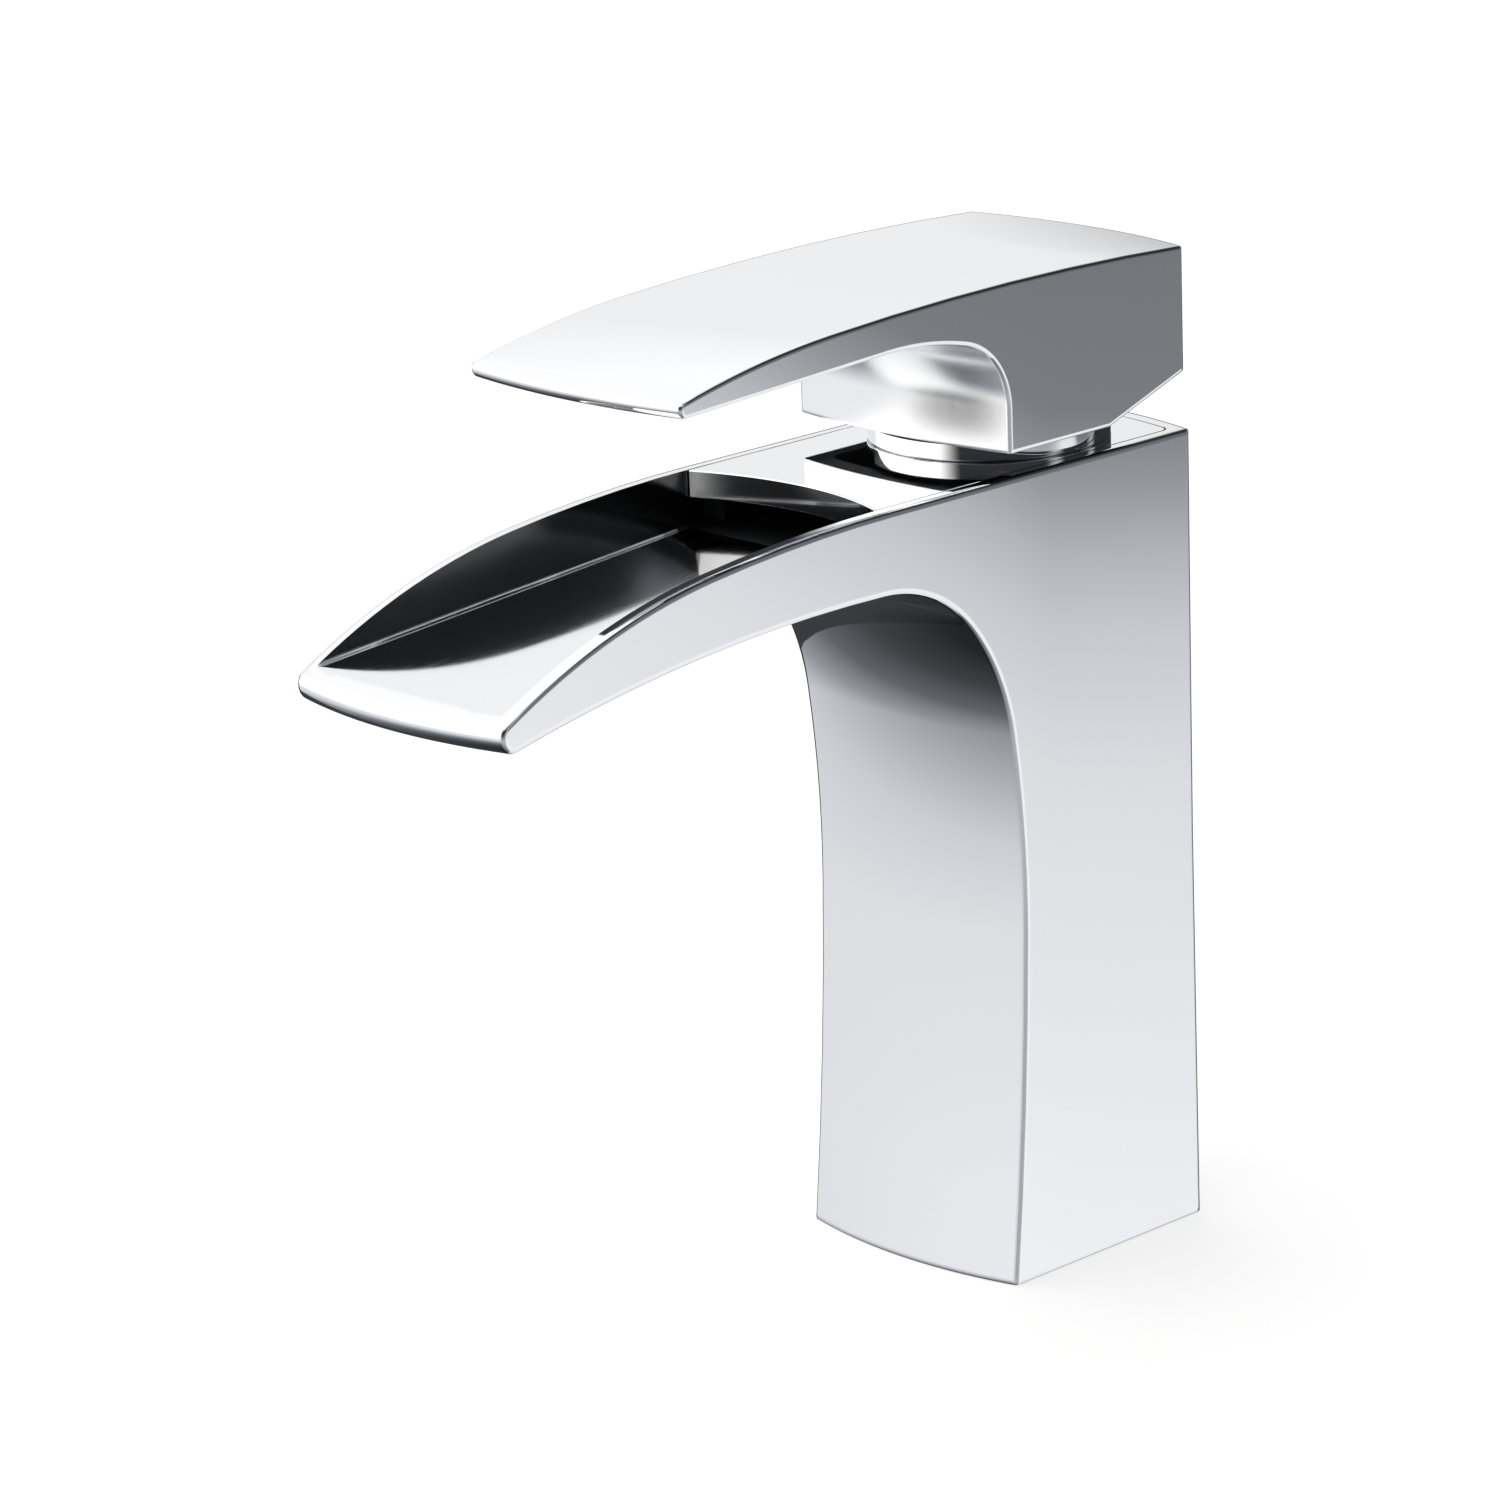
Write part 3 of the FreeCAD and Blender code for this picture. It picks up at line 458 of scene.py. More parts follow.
def plan_tool(run, low, high, corner=0.0, is_corner=None):
    """Upright prism of a plan outline; the chosen corners are rounded."""
    tool = drawn("tool", run, low, side_view=False)
    if corner:
        choose(tool, is_corner)
        bpy.ops.mesh.bevel(offset=corner * mm, segments=8, affect="VERTICES", offset_type="OFFSET")
        bpy.ops.mesh.select_mode(type="FACE")
        bpy.ops.mesh.select_all(action="SELECT")
    raise_by(high - low)
    close_mesh()
    return tool


def finish_mesh(piece, is_flat=None):
    """Smooth shading with a hard line only at sharp edges. Where the test says that faces are flat,
    they are shaded flat right up to their rounds."""
    pick(piece)
    bpy.ops.object.shade_smooth_by_angle(angle=SMOOTH_BELOW)
    if is_flat:
        flat = piece.vertex_groups.new(name="flat")
        flat.add([point.index for point in piece.data.vertices if is_flat(point.co / mm)], 1.0, "REPLACE")
        apply_modifier(piece, "WEIGHTED_NORMAL", mode="FACE_AREA", weight=100, keep_sharp=True,
                       vertex_group="flat")
        piece.vertex_groups.remove(piece.vertex_groups["flat"])


body_run = (arcs(FRONT, math.radians(FOOT_HEADING)) + arc_through(*LIP) + backwards(arcs(RIM_LINE, math.pi))
            + straight(RIM_LINE[0], (REAR_Y, BODY_TOP))
            + arc_through((REAR_Y, BODY_TOP), (REAR_Y - REAR_HOLLOW, BODY_TOP / 2), (REAR_Y, 0))
            + straight((REAR_Y, 0), FRONT[0]))
cast_body = drawn("cast_body", body_run, -HALF)
body_slices = slices(HALF, [TROUGH_HALF])
carry_across(body_slices)
for x in body_slices[1:-1]:
    out = bow(BODY_BOW, HALF, x) * mm
    for side in (-1, 1):
        choose(cast_body, lambda p: abs(p.x - x) < TOUCH and p.y * side > 0)
        bpy.ops.transform.translate(value=(0, side * out, 0))
close_mesh()


def off_the_lip(one, other):
    """An edge's ends: it lies behind the lip, or runs straight across it or along the sides."""
    return one.y > -115 or abs(one.x) == abs(other.x)


round_edges(cast_body, EDGE_ROUND, EDGE_BAND, off_the_lip)

trough = drawn("tool", straight(
    (TROUGH_BACK_Y, PLENUM_FLOOR), (TROUGH_BACK_Y, TROUGH_ABOVE), (TROUGH_FRONT_Y, TROUGH_ABOVE),
    (TROUGH_FRONT_Y, FLOOR_AT[1] + (TROUGH_FRONT_Y - FLOOR_AT[0]) * FLOOR_SLOPE),
    (FLOOR_AT[0] + (PLENUM_FLOOR - FLOOR_AT[1]) / FLOOR_SLOPE, PLENUM_FLOOR),
    (TROUGH_BACK_Y, PLENUM_FLOOR)), -TROUGH_HALF)
carry_across([-TROUGH_HALF, TROUGH_HALF])
choose(trough, lambda p: p.z < BODY_TOP, "EDGE")
bpy.ops.mesh.bevel(offset=TROUGH_CORNER * mm, segments=4, affect="EDGES", clamp_overlap=True)
close_mesh()
seat = plan_tool(plan_run(TROUGH_HALF, PLATE_SIDE_Y, REAR_Y - RIM), SEAT_Z, SEAT_TOOL_TOP,
                 SEAT_CORNER, lambda p: p.y > 0 and abs(p.x) > TROUGH_HALF - TOUCH)
plenum = box_tool((-PLENUM_HALF, PLENUM_Y[0], PLENUM_FLOOR), (PLENUM_HALF, PLENUM_Y[1], CUT_TOP))
duct = box_tool((-DUCT_HALF, DUCT_Y[0], DUCT_LOW), (DUCT_HALF, DUCT_Y[1], CUT_TOP))
duct_window = box_tool((-WINDOW_HALF, WINDOW_Y[0], DUCT_LOW), (WINDOW_HALF, WINDOW_Y[1], WINDOW_TOP))
chamber = rod_tool(CHAMBER_R, (0, 0, CHAMBER_FLOOR), (0, 0, CUT_TOP))
combine(cast_body, [trough, seat, plenum, duct, duct_window, chamber], "DIFFERENCE")

cavity = plan_tool(plan_run(CAVITY_LOW_HALF, -CAVITY_LOW_Y, CAVITY_LOW_Y), 0, CAVITY_TOP)
narrowed = (CAVITY_HIGH_Y[1] - CAVITY_HIGH_Y[0]) / (2 * CAVITY_LOW_Y)
pick(cavity)
bpy.ops.object.mode_set(mode="EDIT")
choose(cavity, lambda p: p.z > CAVITY_TOP - 1)
bpy.ops.transform.resize(value=(CAVITY_HIGH_HALF / CAVITY_LOW_HALF, narrowed, 1), center_override=(0, 0, 0))
bpy.ops.transform.translate(value=(0, sum(CAVITY_HIGH_Y) / 2 * mm, 0))
choose(cavity, lambda p: p.z < 1)
bpy.ops.transform.translate(value=(0, 0, -0.2 * mm))
bpy.ops.object.mode_set(mode="OBJECT")
combine(cavity, [rod_tool(BOSS_R, (0, 0, -1), (0, 0, CAVITY_TOP + 6))], "DIFFERENCE")
groove, groove_island = (plan_tool(plan_run(HALF - inset, FRONT[0][0] + inset, REAR_Y - inset), low, high)
                         for inset, low, high in zip(GROOVE_INSETS, (-0.5, -1.0), (GROOVE_DEPTH, 2.0)))
combine(groove, [groove_island], "DIFFERENCE")
ways = [cavity, groove, rod_tool(STUD_R, (0, 0, -1), (0, 0, STUD_DEPTH))]
for side in (-1, 1):
    hose_x, peg_x = side * HOSE_X, side * PEG_AT[0]
    ways.append(rod_tool(HOSE_R, (hose_x, 0, HOSE_Z[0]), (hose_x, 0, HOSE_Z[1])))
    ways.append(rod_tool(DRILL_R, (hose_x, 0, DRILL_FROM_Z), (side * DRILL_TO[0], *DRILL_TO[1:])))
    ways.append(rod_tool(PEG_R, (peg_x, PEG_AT[1], PEG_Z[0]), (peg_x, PEG_AT[1], PEG_Z[1])))
combine(cast_body, ways, "DIFFERENCE")


def in_top(place):
    """On a wall, a floor or an edge of what is cut in from above."""
    return abs(place.x) < TROUGH_HALF + TOUCH and -122 < place.y < 19 and 114 < place.z < BODY_TOP + 0.1


finish_mesh(cast_body, in_top)


def surface(name):
    """A material with one Principled shader: it, its tree, the shader and object coordinates."""
    made = bpy.data.materials.new(name)
    made.use_nodes = True
    tree = made.node_tree
    tree.nodes.clear()
    shader = node(tree, "ShaderNodeBsdfPrincipled")
    join(tree, shader.outputs[0], node(tree, "ShaderNodeOutputMaterial").inputs["Surface"])
    return made, tree, shader, node(tree, "ShaderNodeTexCoord").outputs["Object"]


def new_group(name, inputs, outputs):
    """A shader node group with float inputs (name, default) and outputs (name, socket type)."""
    group = bpy.data.node_groups.new(name, "ShaderNodeTree")
    group.interface.new_socket("Place", in_out="INPUT", socket_type="NodeSocketVector")
    for socket, default in inputs:
        made = group.interface.new_socket(socket, in_out="INPUT", socket_type="NodeSocketFloat")
        made.default_value = default
    for socket, kind in outputs:
        group.interface.new_socket(socket, in_out="OUTPUT", socket_type=kind)
    return group, group.nodes.new("NodeGroupInput"), group.nodes.new("NodeGroupOutput")


def noise(tree, place, scale, detail=3.0):
    return node(tree, "ShaderNodeTexNoise", [("Vector", place), ("Scale", scale),
                                             ("Detail", detail)]).outputs["Fac"]


def stretched(tree, place, scale, turn=0.0):
    """The place turned about the upright axis by degrees, then stretched."""
    return node(tree, "ShaderNodeMapping", [("Vector", place), ("Rotation", (0, 0, math.radians(turn))),
                                            ("Scale", scale)]).outputs[0]


# Polish: faint cloudy haze and fine wipe marks in the plating, and a slow ripple left by the mop.
polish, polish_in, polish_out = new_group(
    "mop_polish", [("Haze", 0.02), ("Gloss", 0.03)],
    [("Roughness", "NodeSocketFloat"), ("Ripple", "NodeSocketFloat"), ("Tint", "NodeSocketColor")])
cloud = noise(polish, polish_in.outputs["Place"], 38.0)
wipes = noise(polish, stretched(polish, polish_in.outputs["Place"], (900, 60, 90)), 1.0, 2.0)
haze = maths(polish, "MULTIPLY", maths(polish, "MULTIPLY", cloud, wipes), polish_in.outputs["Haze"])
join(polish, maths(polish, "ADD", haze, polish_in.outputs["Gloss"]), polish_out.inputs["Roughness"])
join(polish, noise(polish, polish_in.outputs["Place"], 26.0, 1.0), polish_out.inputs["Ripple"])
join(polish, mixed(polish, cloud, (0.895, 0.910, 0.930, 1), (0.915, 0.925, 0.940, 1)),
     polish_out.inputs["Tint"])


def relief(tree, shader, strength, depth, height):
    """Raise a surface's marks, to a depth in metres."""
    bump = node(tree, "ShaderNodeBump", [("Strength", strength), ("Distance", depth), ("Height", height)])
    join(tree, bump.outputs[0], shader.inputs["Normal"])


def chrome(name, haze, gloss, ripple, shade=1.0):
    """Polished chrome plating; a shade under 1 darkens its colour, which is painted shade where recesses
    such as the trough's walls and the plate's lip are given it.
    """
    made, tree, shader, place = surface(name)
    marks = node(tree, "ShaderNodeGroup", node_tree=polish)
    for socket, value in (("Place", place), ("Haze", haze), ("Gloss", gloss)):
        fill(tree, marks.inputs[socket], value)
    # The plating's tint times the shade: below 1 this is painted shade, a darker colour standing in for dim
    # reflections in recesses.
    plating_and_painted_shade = node(tree, "ShaderNodeMix", [("Factor", 1.0), ("A", marks.outputs["Tint"]),
                                           ("B", (shade, shade, shade, 1))],
                   data_type="RGBA", blend_type="MULTIPLY").outputs["Result"]
    join(tree, plating_and_painted_shade, shader.inputs["Base Color"])
    join(tree, marks.outputs["Roughness"], shader.inputs["Roughness"])
    relief(tree, shader, ripple, 0.0002, marks.outputs["Ripple"])
    shader.inputs["Metallic"].default_value = 1.0
    return made


def unpolished_with_painted_shade(name):
    """Plated casting as the mould left it, dull where no mop reaches; its near-black colour is painted
    shade for the hollows and undersides it is given to.
    """
    made, tree, shader, place = surface(name)
    sand = noise(tree, place, 1400.0)
    # Near-black colour: partly the dull casting, partly painted shade.
    plating_and_painted_shade = mixed(tree, sand, (0.040, 0.042, 0.048, 1), (0.075, 0.078, 0.085, 1))
    join(tree, plating_and_painted_shade, shader.inputs["Base Color"])
    join(tree, maths(tree, "MULTIPLY_ADD", sand, 0.2, 0.45), shader.inputs["Roughness"])
    relief(tree, shader, 0.3, 0.00005, sand)
    shader.inputs["Metallic"].default_value = 1.0
    return made


def dress(piece, outside, *others):
    """Give a piece its outside finish, then each (finish, test) pair to the faces that pass the test."""
    piece.data.materials.clear()
    piece.data.materials.append(outside)
    for finish, test in others:
        piece.data.materials.append(finish)
        for face in piece.data.polygons:
            if test(face.center / mm, face.normal):
                face.material_index = len(piece.data.materials) - 1


def in_trough(place):
    return (abs(place.x) < TROUGH_HALF + TOUCH and -123 < place.y < PLENUM_Y[1]
            and PLENUM_FLOOR - 9 < place.z < BODY_TOP - 1.1)


def on_trough_floor(place, facing):
    return in_trough(place) and facing.z > 0.98


def on_trough_wall(place, facing):
    return in_trough(place) and abs(facing.x) > 0.98


def in_plenum(place, facing):
    return (abs(place.x) < TROUGH_HALF + TOUCH and -43.5 < place.y < -21
            and PLENUM_FLOOR - 0.1 < place.z < SEAT_Z)


# The trough's walls get chrome with a shade of 0.36: painted shade inside the trough.
dress(cast_body, chrome("body_chrome", 0.05, 0.012, 0.02),
      (chrome("trough_floor_chrome", 0.10, 0.05, 0.03), on_trough_floor),
      (chrome("trough_wall_chrome_painted_shade", 0.14, 0.10, 0.04, 0.36), on_trough_wall),
      # The plenum gets a dull casting whose near-black colour is painted shade in this hollow.
      (unpolished_with_painted_shade("plenum_casting_painted_shade"), in_plenum))
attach(cast_body, "body")
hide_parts("spout_body")


# ---- Cover plate ----
# Brass sheet, pressed, polished and plated, let into the top of the body over the water chamber.
# Its front edge curves back and is turned down over the outlet slot.

PLATE_GAP = 0.15
PLATE_HALF = TROUGH_HALF - PLATE_GAP
PLATE_REAR_Y = REAR_Y - RIM - PLATE_GAP
PLATE_MID_Y = -41.2           # where the curved front edge reaches furthest back
PLATE_LIP = 2.2
PLATE_LOW = BODY_TOP - 2.0
PLATE_HOLE_R = 16.4
PLATE_ROUND = 0.25
OUTLET_TOP = 125.6


def plate_run(half, back=0.0):
    """Plan outline of the plate, with its front edge moved back."""
    side_y, rear = PLATE_SIDE_Y + back, PLATE_REAR_Y
    return (arc_through((-half, side_y), (0, PLATE_MID_Y + back), (half, side_y))
            + straight((half, side_y), (half, rear))
            + arc_through((half, rear), (0, rear + bow(BODY_BOW, half, 0)), (-half, rear))
            + straight((-half, rear), (-half, side_y)))


plate = plan_tool(plate_run(PLATE_HALF), OUTLET_TOP, BODY_TOP, SEAT_CORNER - 0.1,
                  lambda p: p.y > 0 and abs(p.x) > PLATE_HALF - TOUCH)
plate.name = plate.data.name = "top_plate"
behind_lip = plan_tool(plate_run(PLATE_HALF + 1.0, PLATE_LIP), OUTLET_TOP - 1, PLATE_LOW)
combine(plate, [behind_lip, rod_tool(PLATE_HOLE_R, (0, 0, BODY_TOP - 10), (0, 0, BODY_TOP + 10), 160)],
        "DIFFERENCE")
round_edges(plate, PLATE_ROUND, segments=3)
finish_mesh(plate, lambda p: True)
# The lip's front face gets chrome with a shade of 0.55: painted shade on the turned-down lip over the
# outlet.
dress(plate, chrome("plate_chrome", 0.06, 0.012, 0.02),
      (chrome("plate_lip_chrome_painted_shade", 0.02, 0.05, 0.01, 0.55),
       lambda place, facing: facing.y < -0.8 and place.z < BODY_TOP - 0.3))
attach(plate, "body")
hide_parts("cover_plate")


# ---- Dress collar ----
# Brass ring, turned, polished and plated. It is screwed on the nut's threaded sleeve and holds the
# cover plate down.

COLLAR_R = 19.0
COLLAR_Z = (130.0, 133.0)
SLEEVE_R, SLEEVE_TOP = 16.25, 131.6
NECK_HOLE_R = 12.4
COLLAR_ROUND = 0.35

bpy.ops.object.select_all(action="DESELECT")
bpy.ops.mesh.primitive_cylinder_add(
    vertices=192, radius=COLLAR_R * mm, depth=(COLLAR_Z[1] - COLLAR_Z[0]) * mm,
    location=(0, 0, sum(COLLAR_Z) / 2 * mm))
bpy.ops.object.transform_apply(location=True, rotation=True, scale=True)
collar = name_piece("dress_collar")
sleeve_bore = rod_tool(SLEEVE_R, (0, 0, COLLAR_Z[0] - 1), (0, 0, SLEEVE_TOP), 160)
neck_hole = rod_tool(NECK_HOLE_R, (0, 0, COLLAR_Z[0] - 1), (0, 0, COLLAR_Z[1] + 1), 128)
combine(collar, [sleeve_bore, neck_hole], "DIFFERENCE")
round_edges(collar, COLLAR_ROUND, segments=3)
finish_mesh(collar, lambda p: True)
dress(collar, chrome("collar_chrome_finish", 0.04, 0.012, 0.01))
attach(collar, "body")
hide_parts("collar_ring")


# ---- Handle ----
# Flat lever and hollow hub, one zinc casting, polished and plated. It sits on the square stem,
# and a screw from the rear holds it.

HANDLE_BOW = 120.0            # radius of the bow across the lever's lip and the hub's front
HANDLE_REAR_BOW = 68.0
HANDLE_REAR = (20.5, 159.1)
HUB_FRONT = -18.7
HUB_LOW = 133.6
FILLET = [(-18.7, 140.6), (-27.6, 152.0), (-45.4, 153.6)]
LEVER_LIP = [(-85.8, 154.1), (-86.2, 152.9), (-85.1, 151.7)]
LEVER_TOP = [HANDLE_REAR, (-55.5, 158.7), LEVER_LIP[0]]
TOP_HEADING = math.radians(176.9)
BEVEL_START = 3.5             # the hub's underside slants up from here to the rear
BEVEL_END = (HANDLE_REAR[0], 139.3)
BEVEL_RISE = (BEVEL_END[1] - HUB_LOW) / (BEVEL_END[0] - BEVEL_START)
HUB_WALL = 2.9
HUB_CEILING = 155.5
HOLLOW_CORNER = 2.0
SCREW_BOSS = (-7.5, -8.5, 141.0), (7.5, 22.0, 156.0)
STEM_SOCKET = (-3.55, -4.05, 140.0), (3.55, 4.05, 151.5)
GRUB_Z, GRUB_R = 146.0, 2.5
PLUG_R, PLUG_SEAT_Y = 3.6, 21.4

handle_run = (arcs(LEVER_TOP, TOP_HEADING) + arc_through(*LEVER_LIP) + straight(LEVER_LIP[2], FILLET[2])
              + backwards(arcs(FILLET, math.pi / 2))
              + straight(FILLET[0], (HUB_FRONT, HUB_LOW), (BEVEL_START, HUB_LOW), BEVEL_END, HANDLE_REAR))
lever = drawn("lever_handle", handle_run, -HALF, finest=1.2)
handle_slices = slices(HALF)
carry_across(handle_slices)
for x in handle_slices[1:-1]:
    forward = bow(HANDLE_BOW, HALF, x)
    back = bow(HANDLE_REAR_BOW, HALF, x)
    choose(lever, lambda p: abs(p.x - x) < TOUCH and p.y < 10)
    bpy.ops.transform.translate(value=(0, -forward * mm, 0))
    for is_top, slope in ((True, math.tan(TOP_HEADING)), (False, BEVEL_RISE)):
        choose(lever, lambda p: abs(p.x - x) < TOUCH and p.y > 10 and (p.z > 150) == is_top)
        bpy.ops.transform.translate(value=(0, back * mm, (back + forward) * slope * mm))
close_mesh()
round_edges(lever, EDGE_ROUND, 0.7 * EDGE_BAND, lambda a, b: a.y > -80 or abs(a.x) == abs(b.x))
hollow = plan_tool(
    plan_run(HALF - HUB_WALL, HUB_FRONT + HUB_WALL, HANDLE_REAR[0] - HUB_WALL, HANDLE_BOW, HANDLE_REAR_BOW),
    120.0, HUB_CEILING, HOLLOW_CORNER, lambda p: abs(p.x) > HALF - HUB_WALL - TOUCH)
combine(lever, [hollow], "DIFFERENCE")
combine(lever, [box_tool(*SCREW_BOSS)], "UNION")
combine(lever, [box_tool(*STEM_SOCKET), rod_tool(GRUB_R, (0, 3, GRUB_Z), (0, 30, GRUB_Z), 48),
                rod_tool(PLUG_R, (0, PLUG_SEAT_Y, GRUB_Z), (0, 30, GRUB_Z), 64)], "DIFFERENCE")
finish_mesh(lever)


def in_recess(place, facing):
    """On the hub's front, the fillet and the rear of the lever's underside."""
    return (-55 < place.y < -18 and place.z < 156
            and facing.y < 0.3 and facing.z < 0.1 and abs(facing.x) < 0.7)


def under_hub(place, facing):
    """Inside the hub or on its underside."""
    inside = (abs(place.x) < HALF - HUB_WALL + 0.05 and -17.5 < place.y < 19.5
              and place.z < HUB_CEILING + 1)
    return inside or (facing.z < -0.9 and place.y > -22 and place.z < BEVEL_END[1] + 0.1)


# Inside the hub and on its underside the near-black casting colour is painted shade, on a dull casting.
dress(lever, chrome("handle_chrome_finish", 0.04, 0.012, 0.015),
      (chrome("handle_recess_chrome", 0.04, 0.24, 0.02), in_recess),
      (unpolished_with_painted_shade("handle_casting_painted_shade"), under_hub))
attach(lever, "lever")
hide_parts("handle")


# ---- Base gasket ----
# Rubber ring, moulded to the foot's outline and pressed into the groove of the foot. It seals the
# body against the deck.


def texture_group(name, settings, make_marks):
    """A group that turns a place and settings into Marks from 0 to 1 and slow Patches."""
    group, start, end = new_group(name, settings, [("Marks", "NodeSocketFloat"),
                                                   ("Patches", "NodeSocketFloat")])
    join(group, make_marks(group, start.outputs), end.inputs["Marks"])
    join(group, noise(group, start.outputs["Place"], 110.0), end.inputs["Patches"])
    return group


def finish_from(group, name, dark, light, rough, height, metallic=0.0, **settings):
    """Material whose colour, gloss and relief all follow the marks of one group."""
    made, tree, shader, place = surface(name)
    marks = node(tree, "ShaderNodeGroup", [("Place", place)], node_tree=group)
    for socket, value in settings.items():
        fill(tree, marks.inputs[socket], value)
    both = maths(tree, "MULTIPLY_ADD", marks.outputs["Marks"], 0.5,
                 maths(tree, "MULTIPLY", marks.outputs["Patches"], 0.5))
    join(tree, mixed(tree, both, (*dark, 1), (*light, 1)), shader.inputs["Base Color"])
    join(tree, maths(tree, "MULTIPLY_ADD", both, rough[1] - rough[0], rough[0]), shader.inputs["Roughness"])
    relief(tree, shader, height, 0.00004, marks.outputs["Marks"])
    shader.inputs["Metallic"].default_value = metallic
    return made


def refinish(name, finish):
    """Give a piece that keeps its CAD shape its finish."""
    for holder in bpy.data.objects[name].material_slots:
        holder.material = finish


def grain_marks(tree, sockets):
    """Fine even grain, as a blasted mould leaves it."""
    return node(tree, "ShaderNodeTexVoronoi", [("Vector", sockets["Place"]),
                                               ("Scale", sockets["Grain"])]).outputs["Distance"]


moulded = texture_group("moulded_grain", [("Grain", 1500.0)], grain_marks)
refinish("base_gasket", finish_from(moulded, "gasket_rubber", (0.018, 0.018, 0.019), (0.050, 0.050, 0.052),
                                    (0.55, 0.80), 0.35, Grain=1100.0))


# ---- Plate gasket ----
# Thin rubber sheet, stamped out to the seat's outline. It lies on the body's ledge and is clamped
# by the cover plate.

refinish("plate_gasket", finish_from(moulded, "sheet_rubber", (0.022, 0.022, 0.022), (0.060, 0.058, 0.056),
                                     (0.60, 0.85), 0.25, Grain=2600.0))


# ---- Cartridge nut ----
# Brass ring with a threaded sleeve, turned on a lathe and left bare. It is screwed into the
# chamber and clamps the cartridge.


def turned_marks(tree, sockets):
    """Fine rings and bands that a lathe leaves round the upright axis."""
    rings, bands = (node(tree, "ShaderNodeTexWave", [
        ("Vector", sockets["Place"]), ("Scale", sockets["Pitch"]), ("Distortion", 1.2), ("Detail", 2.0)],
        wave_type=kind, rings_direction="Z", bands_direction="Z").outputs["Fac"]
                    for kind in ("RINGS", "BANDS"))
    return maths(tree, "MULTIPLY", rings, bands)


turned = texture_group("turned_marks", [("Pitch", 900.0)], turned_marks)
refinish("cartridge_nut", finish_from(turned, "turned_brass", (0.58, 0.42, 0.17), (0.82, 0.65, 0.34),
                                      (0.18, 0.38), 0.30, 1.0))


# ---- Nut seal ----
# Rubber ring, moulded, in the groove of the nut's flange. The nut presses it against the
# chamber's wall.

refinish("nut_seal", finish_from(moulded, "seal_rubber", (0.015, 0.015, 0.016), (0.038, 0.038, 0.040),
                                 (0.40, 0.60), 0.20, Grain=2000.0))


# ---- Cartridge housing ----
# Upper shell of the ceramic cartridge with its neck, moulded in white acetal. Its tabs snap on
# the base, and the nut holds it down.

refinish("cartridge_housing", finish_from(moulded, "white_acetal", (0.80, 0.80, 0.76), (0.90, 0.90, 0.87),
                                          (0.32, 0.48), 0.12, Grain=1300.0))


# ---- Cartridge base ----
# Lower half of the cartridge with its inlets, outlet and keys, moulded in grey acetal. Its two
# pegs stand in the chamber's floor and stop it turning.

refinish("cartridge_base", finish_from(moulded, "grey_acetal", (0.36, 0.37, 0.39), (0.50, 0.51, 0.53),
                                       (0.35, 0.55), 0.15, Grain=1200.0))


# ---- Port seals ----
# Two soft rubber rings, moulded, in pockets under the cartridge. They are squeezed on the
# chamber's floor round the inlet holes.

refinish("port_seals", finish_from(moulded, "port_rubber", (0.020, 0.020, 0.022), (0.045, 0.045, 0.048),
                                   (0.45, 0.70), 0.25, Grain=2200.0))


# ---- Disc seals ----
# Three rubber rings, moulded, in pockets of the cartridge base. They press the fixed disc up
# against its partner.

refinish("disc_seals", finish_from(moulded, "disc_rubber", (0.016, 0.017, 0.018), (0.042, 0.042, 0.044),
                                   (0.42, 0.66), 0.22, Grain=2400.0))


# ---- Fixed disc ----
# Lower disc of sintered alumina, lapped flat on top, where its partner slides wet. The base's
# keys hold it.


def lapped_marks(tree, sockets):
    """Crossed hair scratches of the lapping plate."""
    scratches = [noise(tree, stretched(tree, sockets["Place"], (4000, 250, 250), turn), 1.0)
                 for turn in (20, 85, 140)]
    return maths(tree, "MULTIPLY", scratches[0], maths(tree, "ADD", scratches[1], scratches[2]))


lapped = texture_group("lapped_marks", [], lapped_marks)
refinish("fixed_disc", finish_from(lapped, "fixed_alumina", (0.84, 0.84, 0.80), (0.94, 0.94, 0.91),
                                   (0.10, 0.26), 0.06))


# ---- Moving disc ----
# Upper disc of sintered alumina, lapped flat below, with a blind pocket that joins the ports.
# The carrier's lugs move it.

refinish("moving_disc", finish_from(lapped, "moving_alumina", (0.82, 0.83, 0.81), (0.95, 0.95, 0.93),
                                    (0.12, 0.28), 0.06))


# ---- Disc carrier ----
# Slide moulded in grey acetal. It holds the moving disc below and the stem's ball above, and runs
# between the guide's rails.

refinish("disc_carrier", finish_from(moulded, "carrier_acetal", (0.33, 0.34, 0.36), (0.47, 0.48, 0.50),
                                     (0.30, 0.50), 0.12, Grain=1700.0))


# ---- Stem guide ----
# Guide moulded in white acetal. It turns in the neck and carries the lever pin and the slide's
# rails.

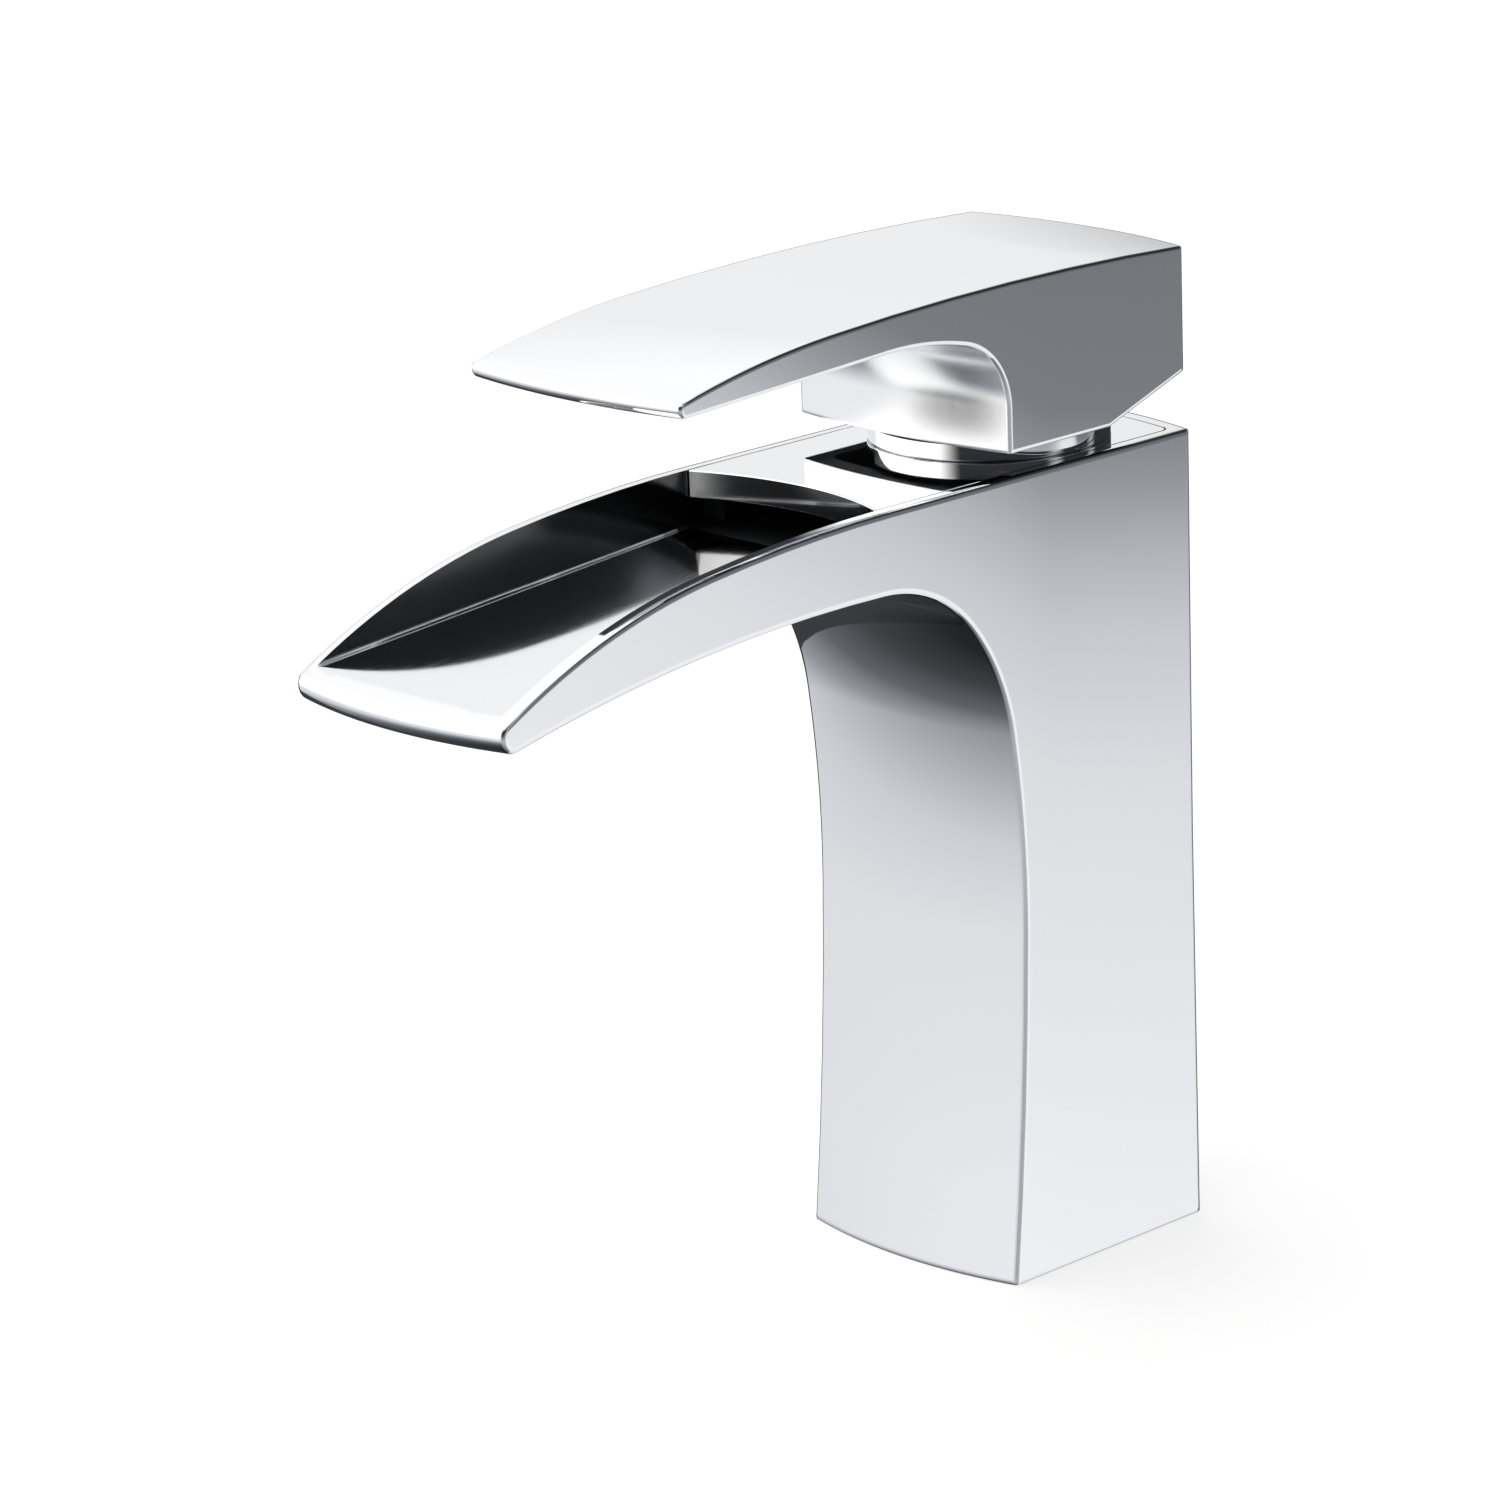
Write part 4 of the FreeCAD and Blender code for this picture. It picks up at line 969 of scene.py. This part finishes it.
refinish("stem_guide", finish_from(moulded, "guide_acetal", (0.78, 0.78, 0.75), (0.89, 0.89, 0.86),
                                   (0.30, 0.46), 0.12, Grain=1500.0))


# ---- Stem ring seal ----
# Small rubber ring, moulded and greased, in the guide's groove. It seals the guide against the
# neck's bore.

refinish("stem_oring", finish_from(moulded, "greased_rubber", (0.014, 0.014, 0.015), (0.036, 0.036, 0.038),
                                   (0.22, 0.42), 0.15, Grain=2600.0))


# ---- Stem pin ----
# Steel pin, drawn and ground round, fitted across the guide. The stem tilts on it.
# Its hair lines run along the bar.


def drawn_marks(tree, sockets):
    """Hair lines along a drawn bar: the larger the number across an axis, the closer they lie."""
    scale = node(tree, "ShaderNodeCombineXYZ", [(axis, sockets["Across " + axis]) for axis in "XYZ"])
    lines = noise(tree, stretched(tree, sockets["Place"], scale.outputs[0]), 1.0)
    return maths(tree, "MULTIPLY", lines, noise(tree, sockets["Place"], 1800.0))


hair_lines = texture_group("hair_lines", [("Across " + axis, 2500.0) for axis in "XYZ"], drawn_marks)
refinish("stem_pin", finish_from(hair_lines, "pin_steel", (0.44, 0.44, 0.43), (0.66, 0.66, 0.65),
                                 (0.16, 0.34), 0.15, 1.0, **{"Across X": 120.0}))


# ---- Lever stem ----
# Square steel stem with its ball, milled from drawn bar and held by the pin. The handle is pushed
# over its top.

refinish("lever_stem", finish_from(hair_lines, "stem_steel_finish", (0.42, 0.42, 0.41), (0.62, 0.62, 0.61),
                                   (0.20, 0.40), 0.25, 1.0, **{"Across Z": 120.0}))


# ---- Grub screw ----
# Small steel screw with a turned point and a hexagon socket. It is screwed in from the rear of
# the hub and clamps the handle to the stem.

refinish("grub_screw", finish_from(hair_lines, "screw_steel", (0.30, 0.30, 0.31), (0.52, 0.52, 0.52),
                                   (0.25, 0.45), 0.30, 1.0, **{"Across Y": 300.0}))


# ---- Index plug ----
# Button moulded in glossy grey plastic. It is pushed into the rear of the hub and closes the
# screw's hole.

refinish("index_plug", finish_from(moulded, "plug_gloss_plastic", (0.56, 0.57, 0.59), (0.67, 0.68, 0.70),
                                   (0.10, 0.22), 0.05, Grain=900.0))
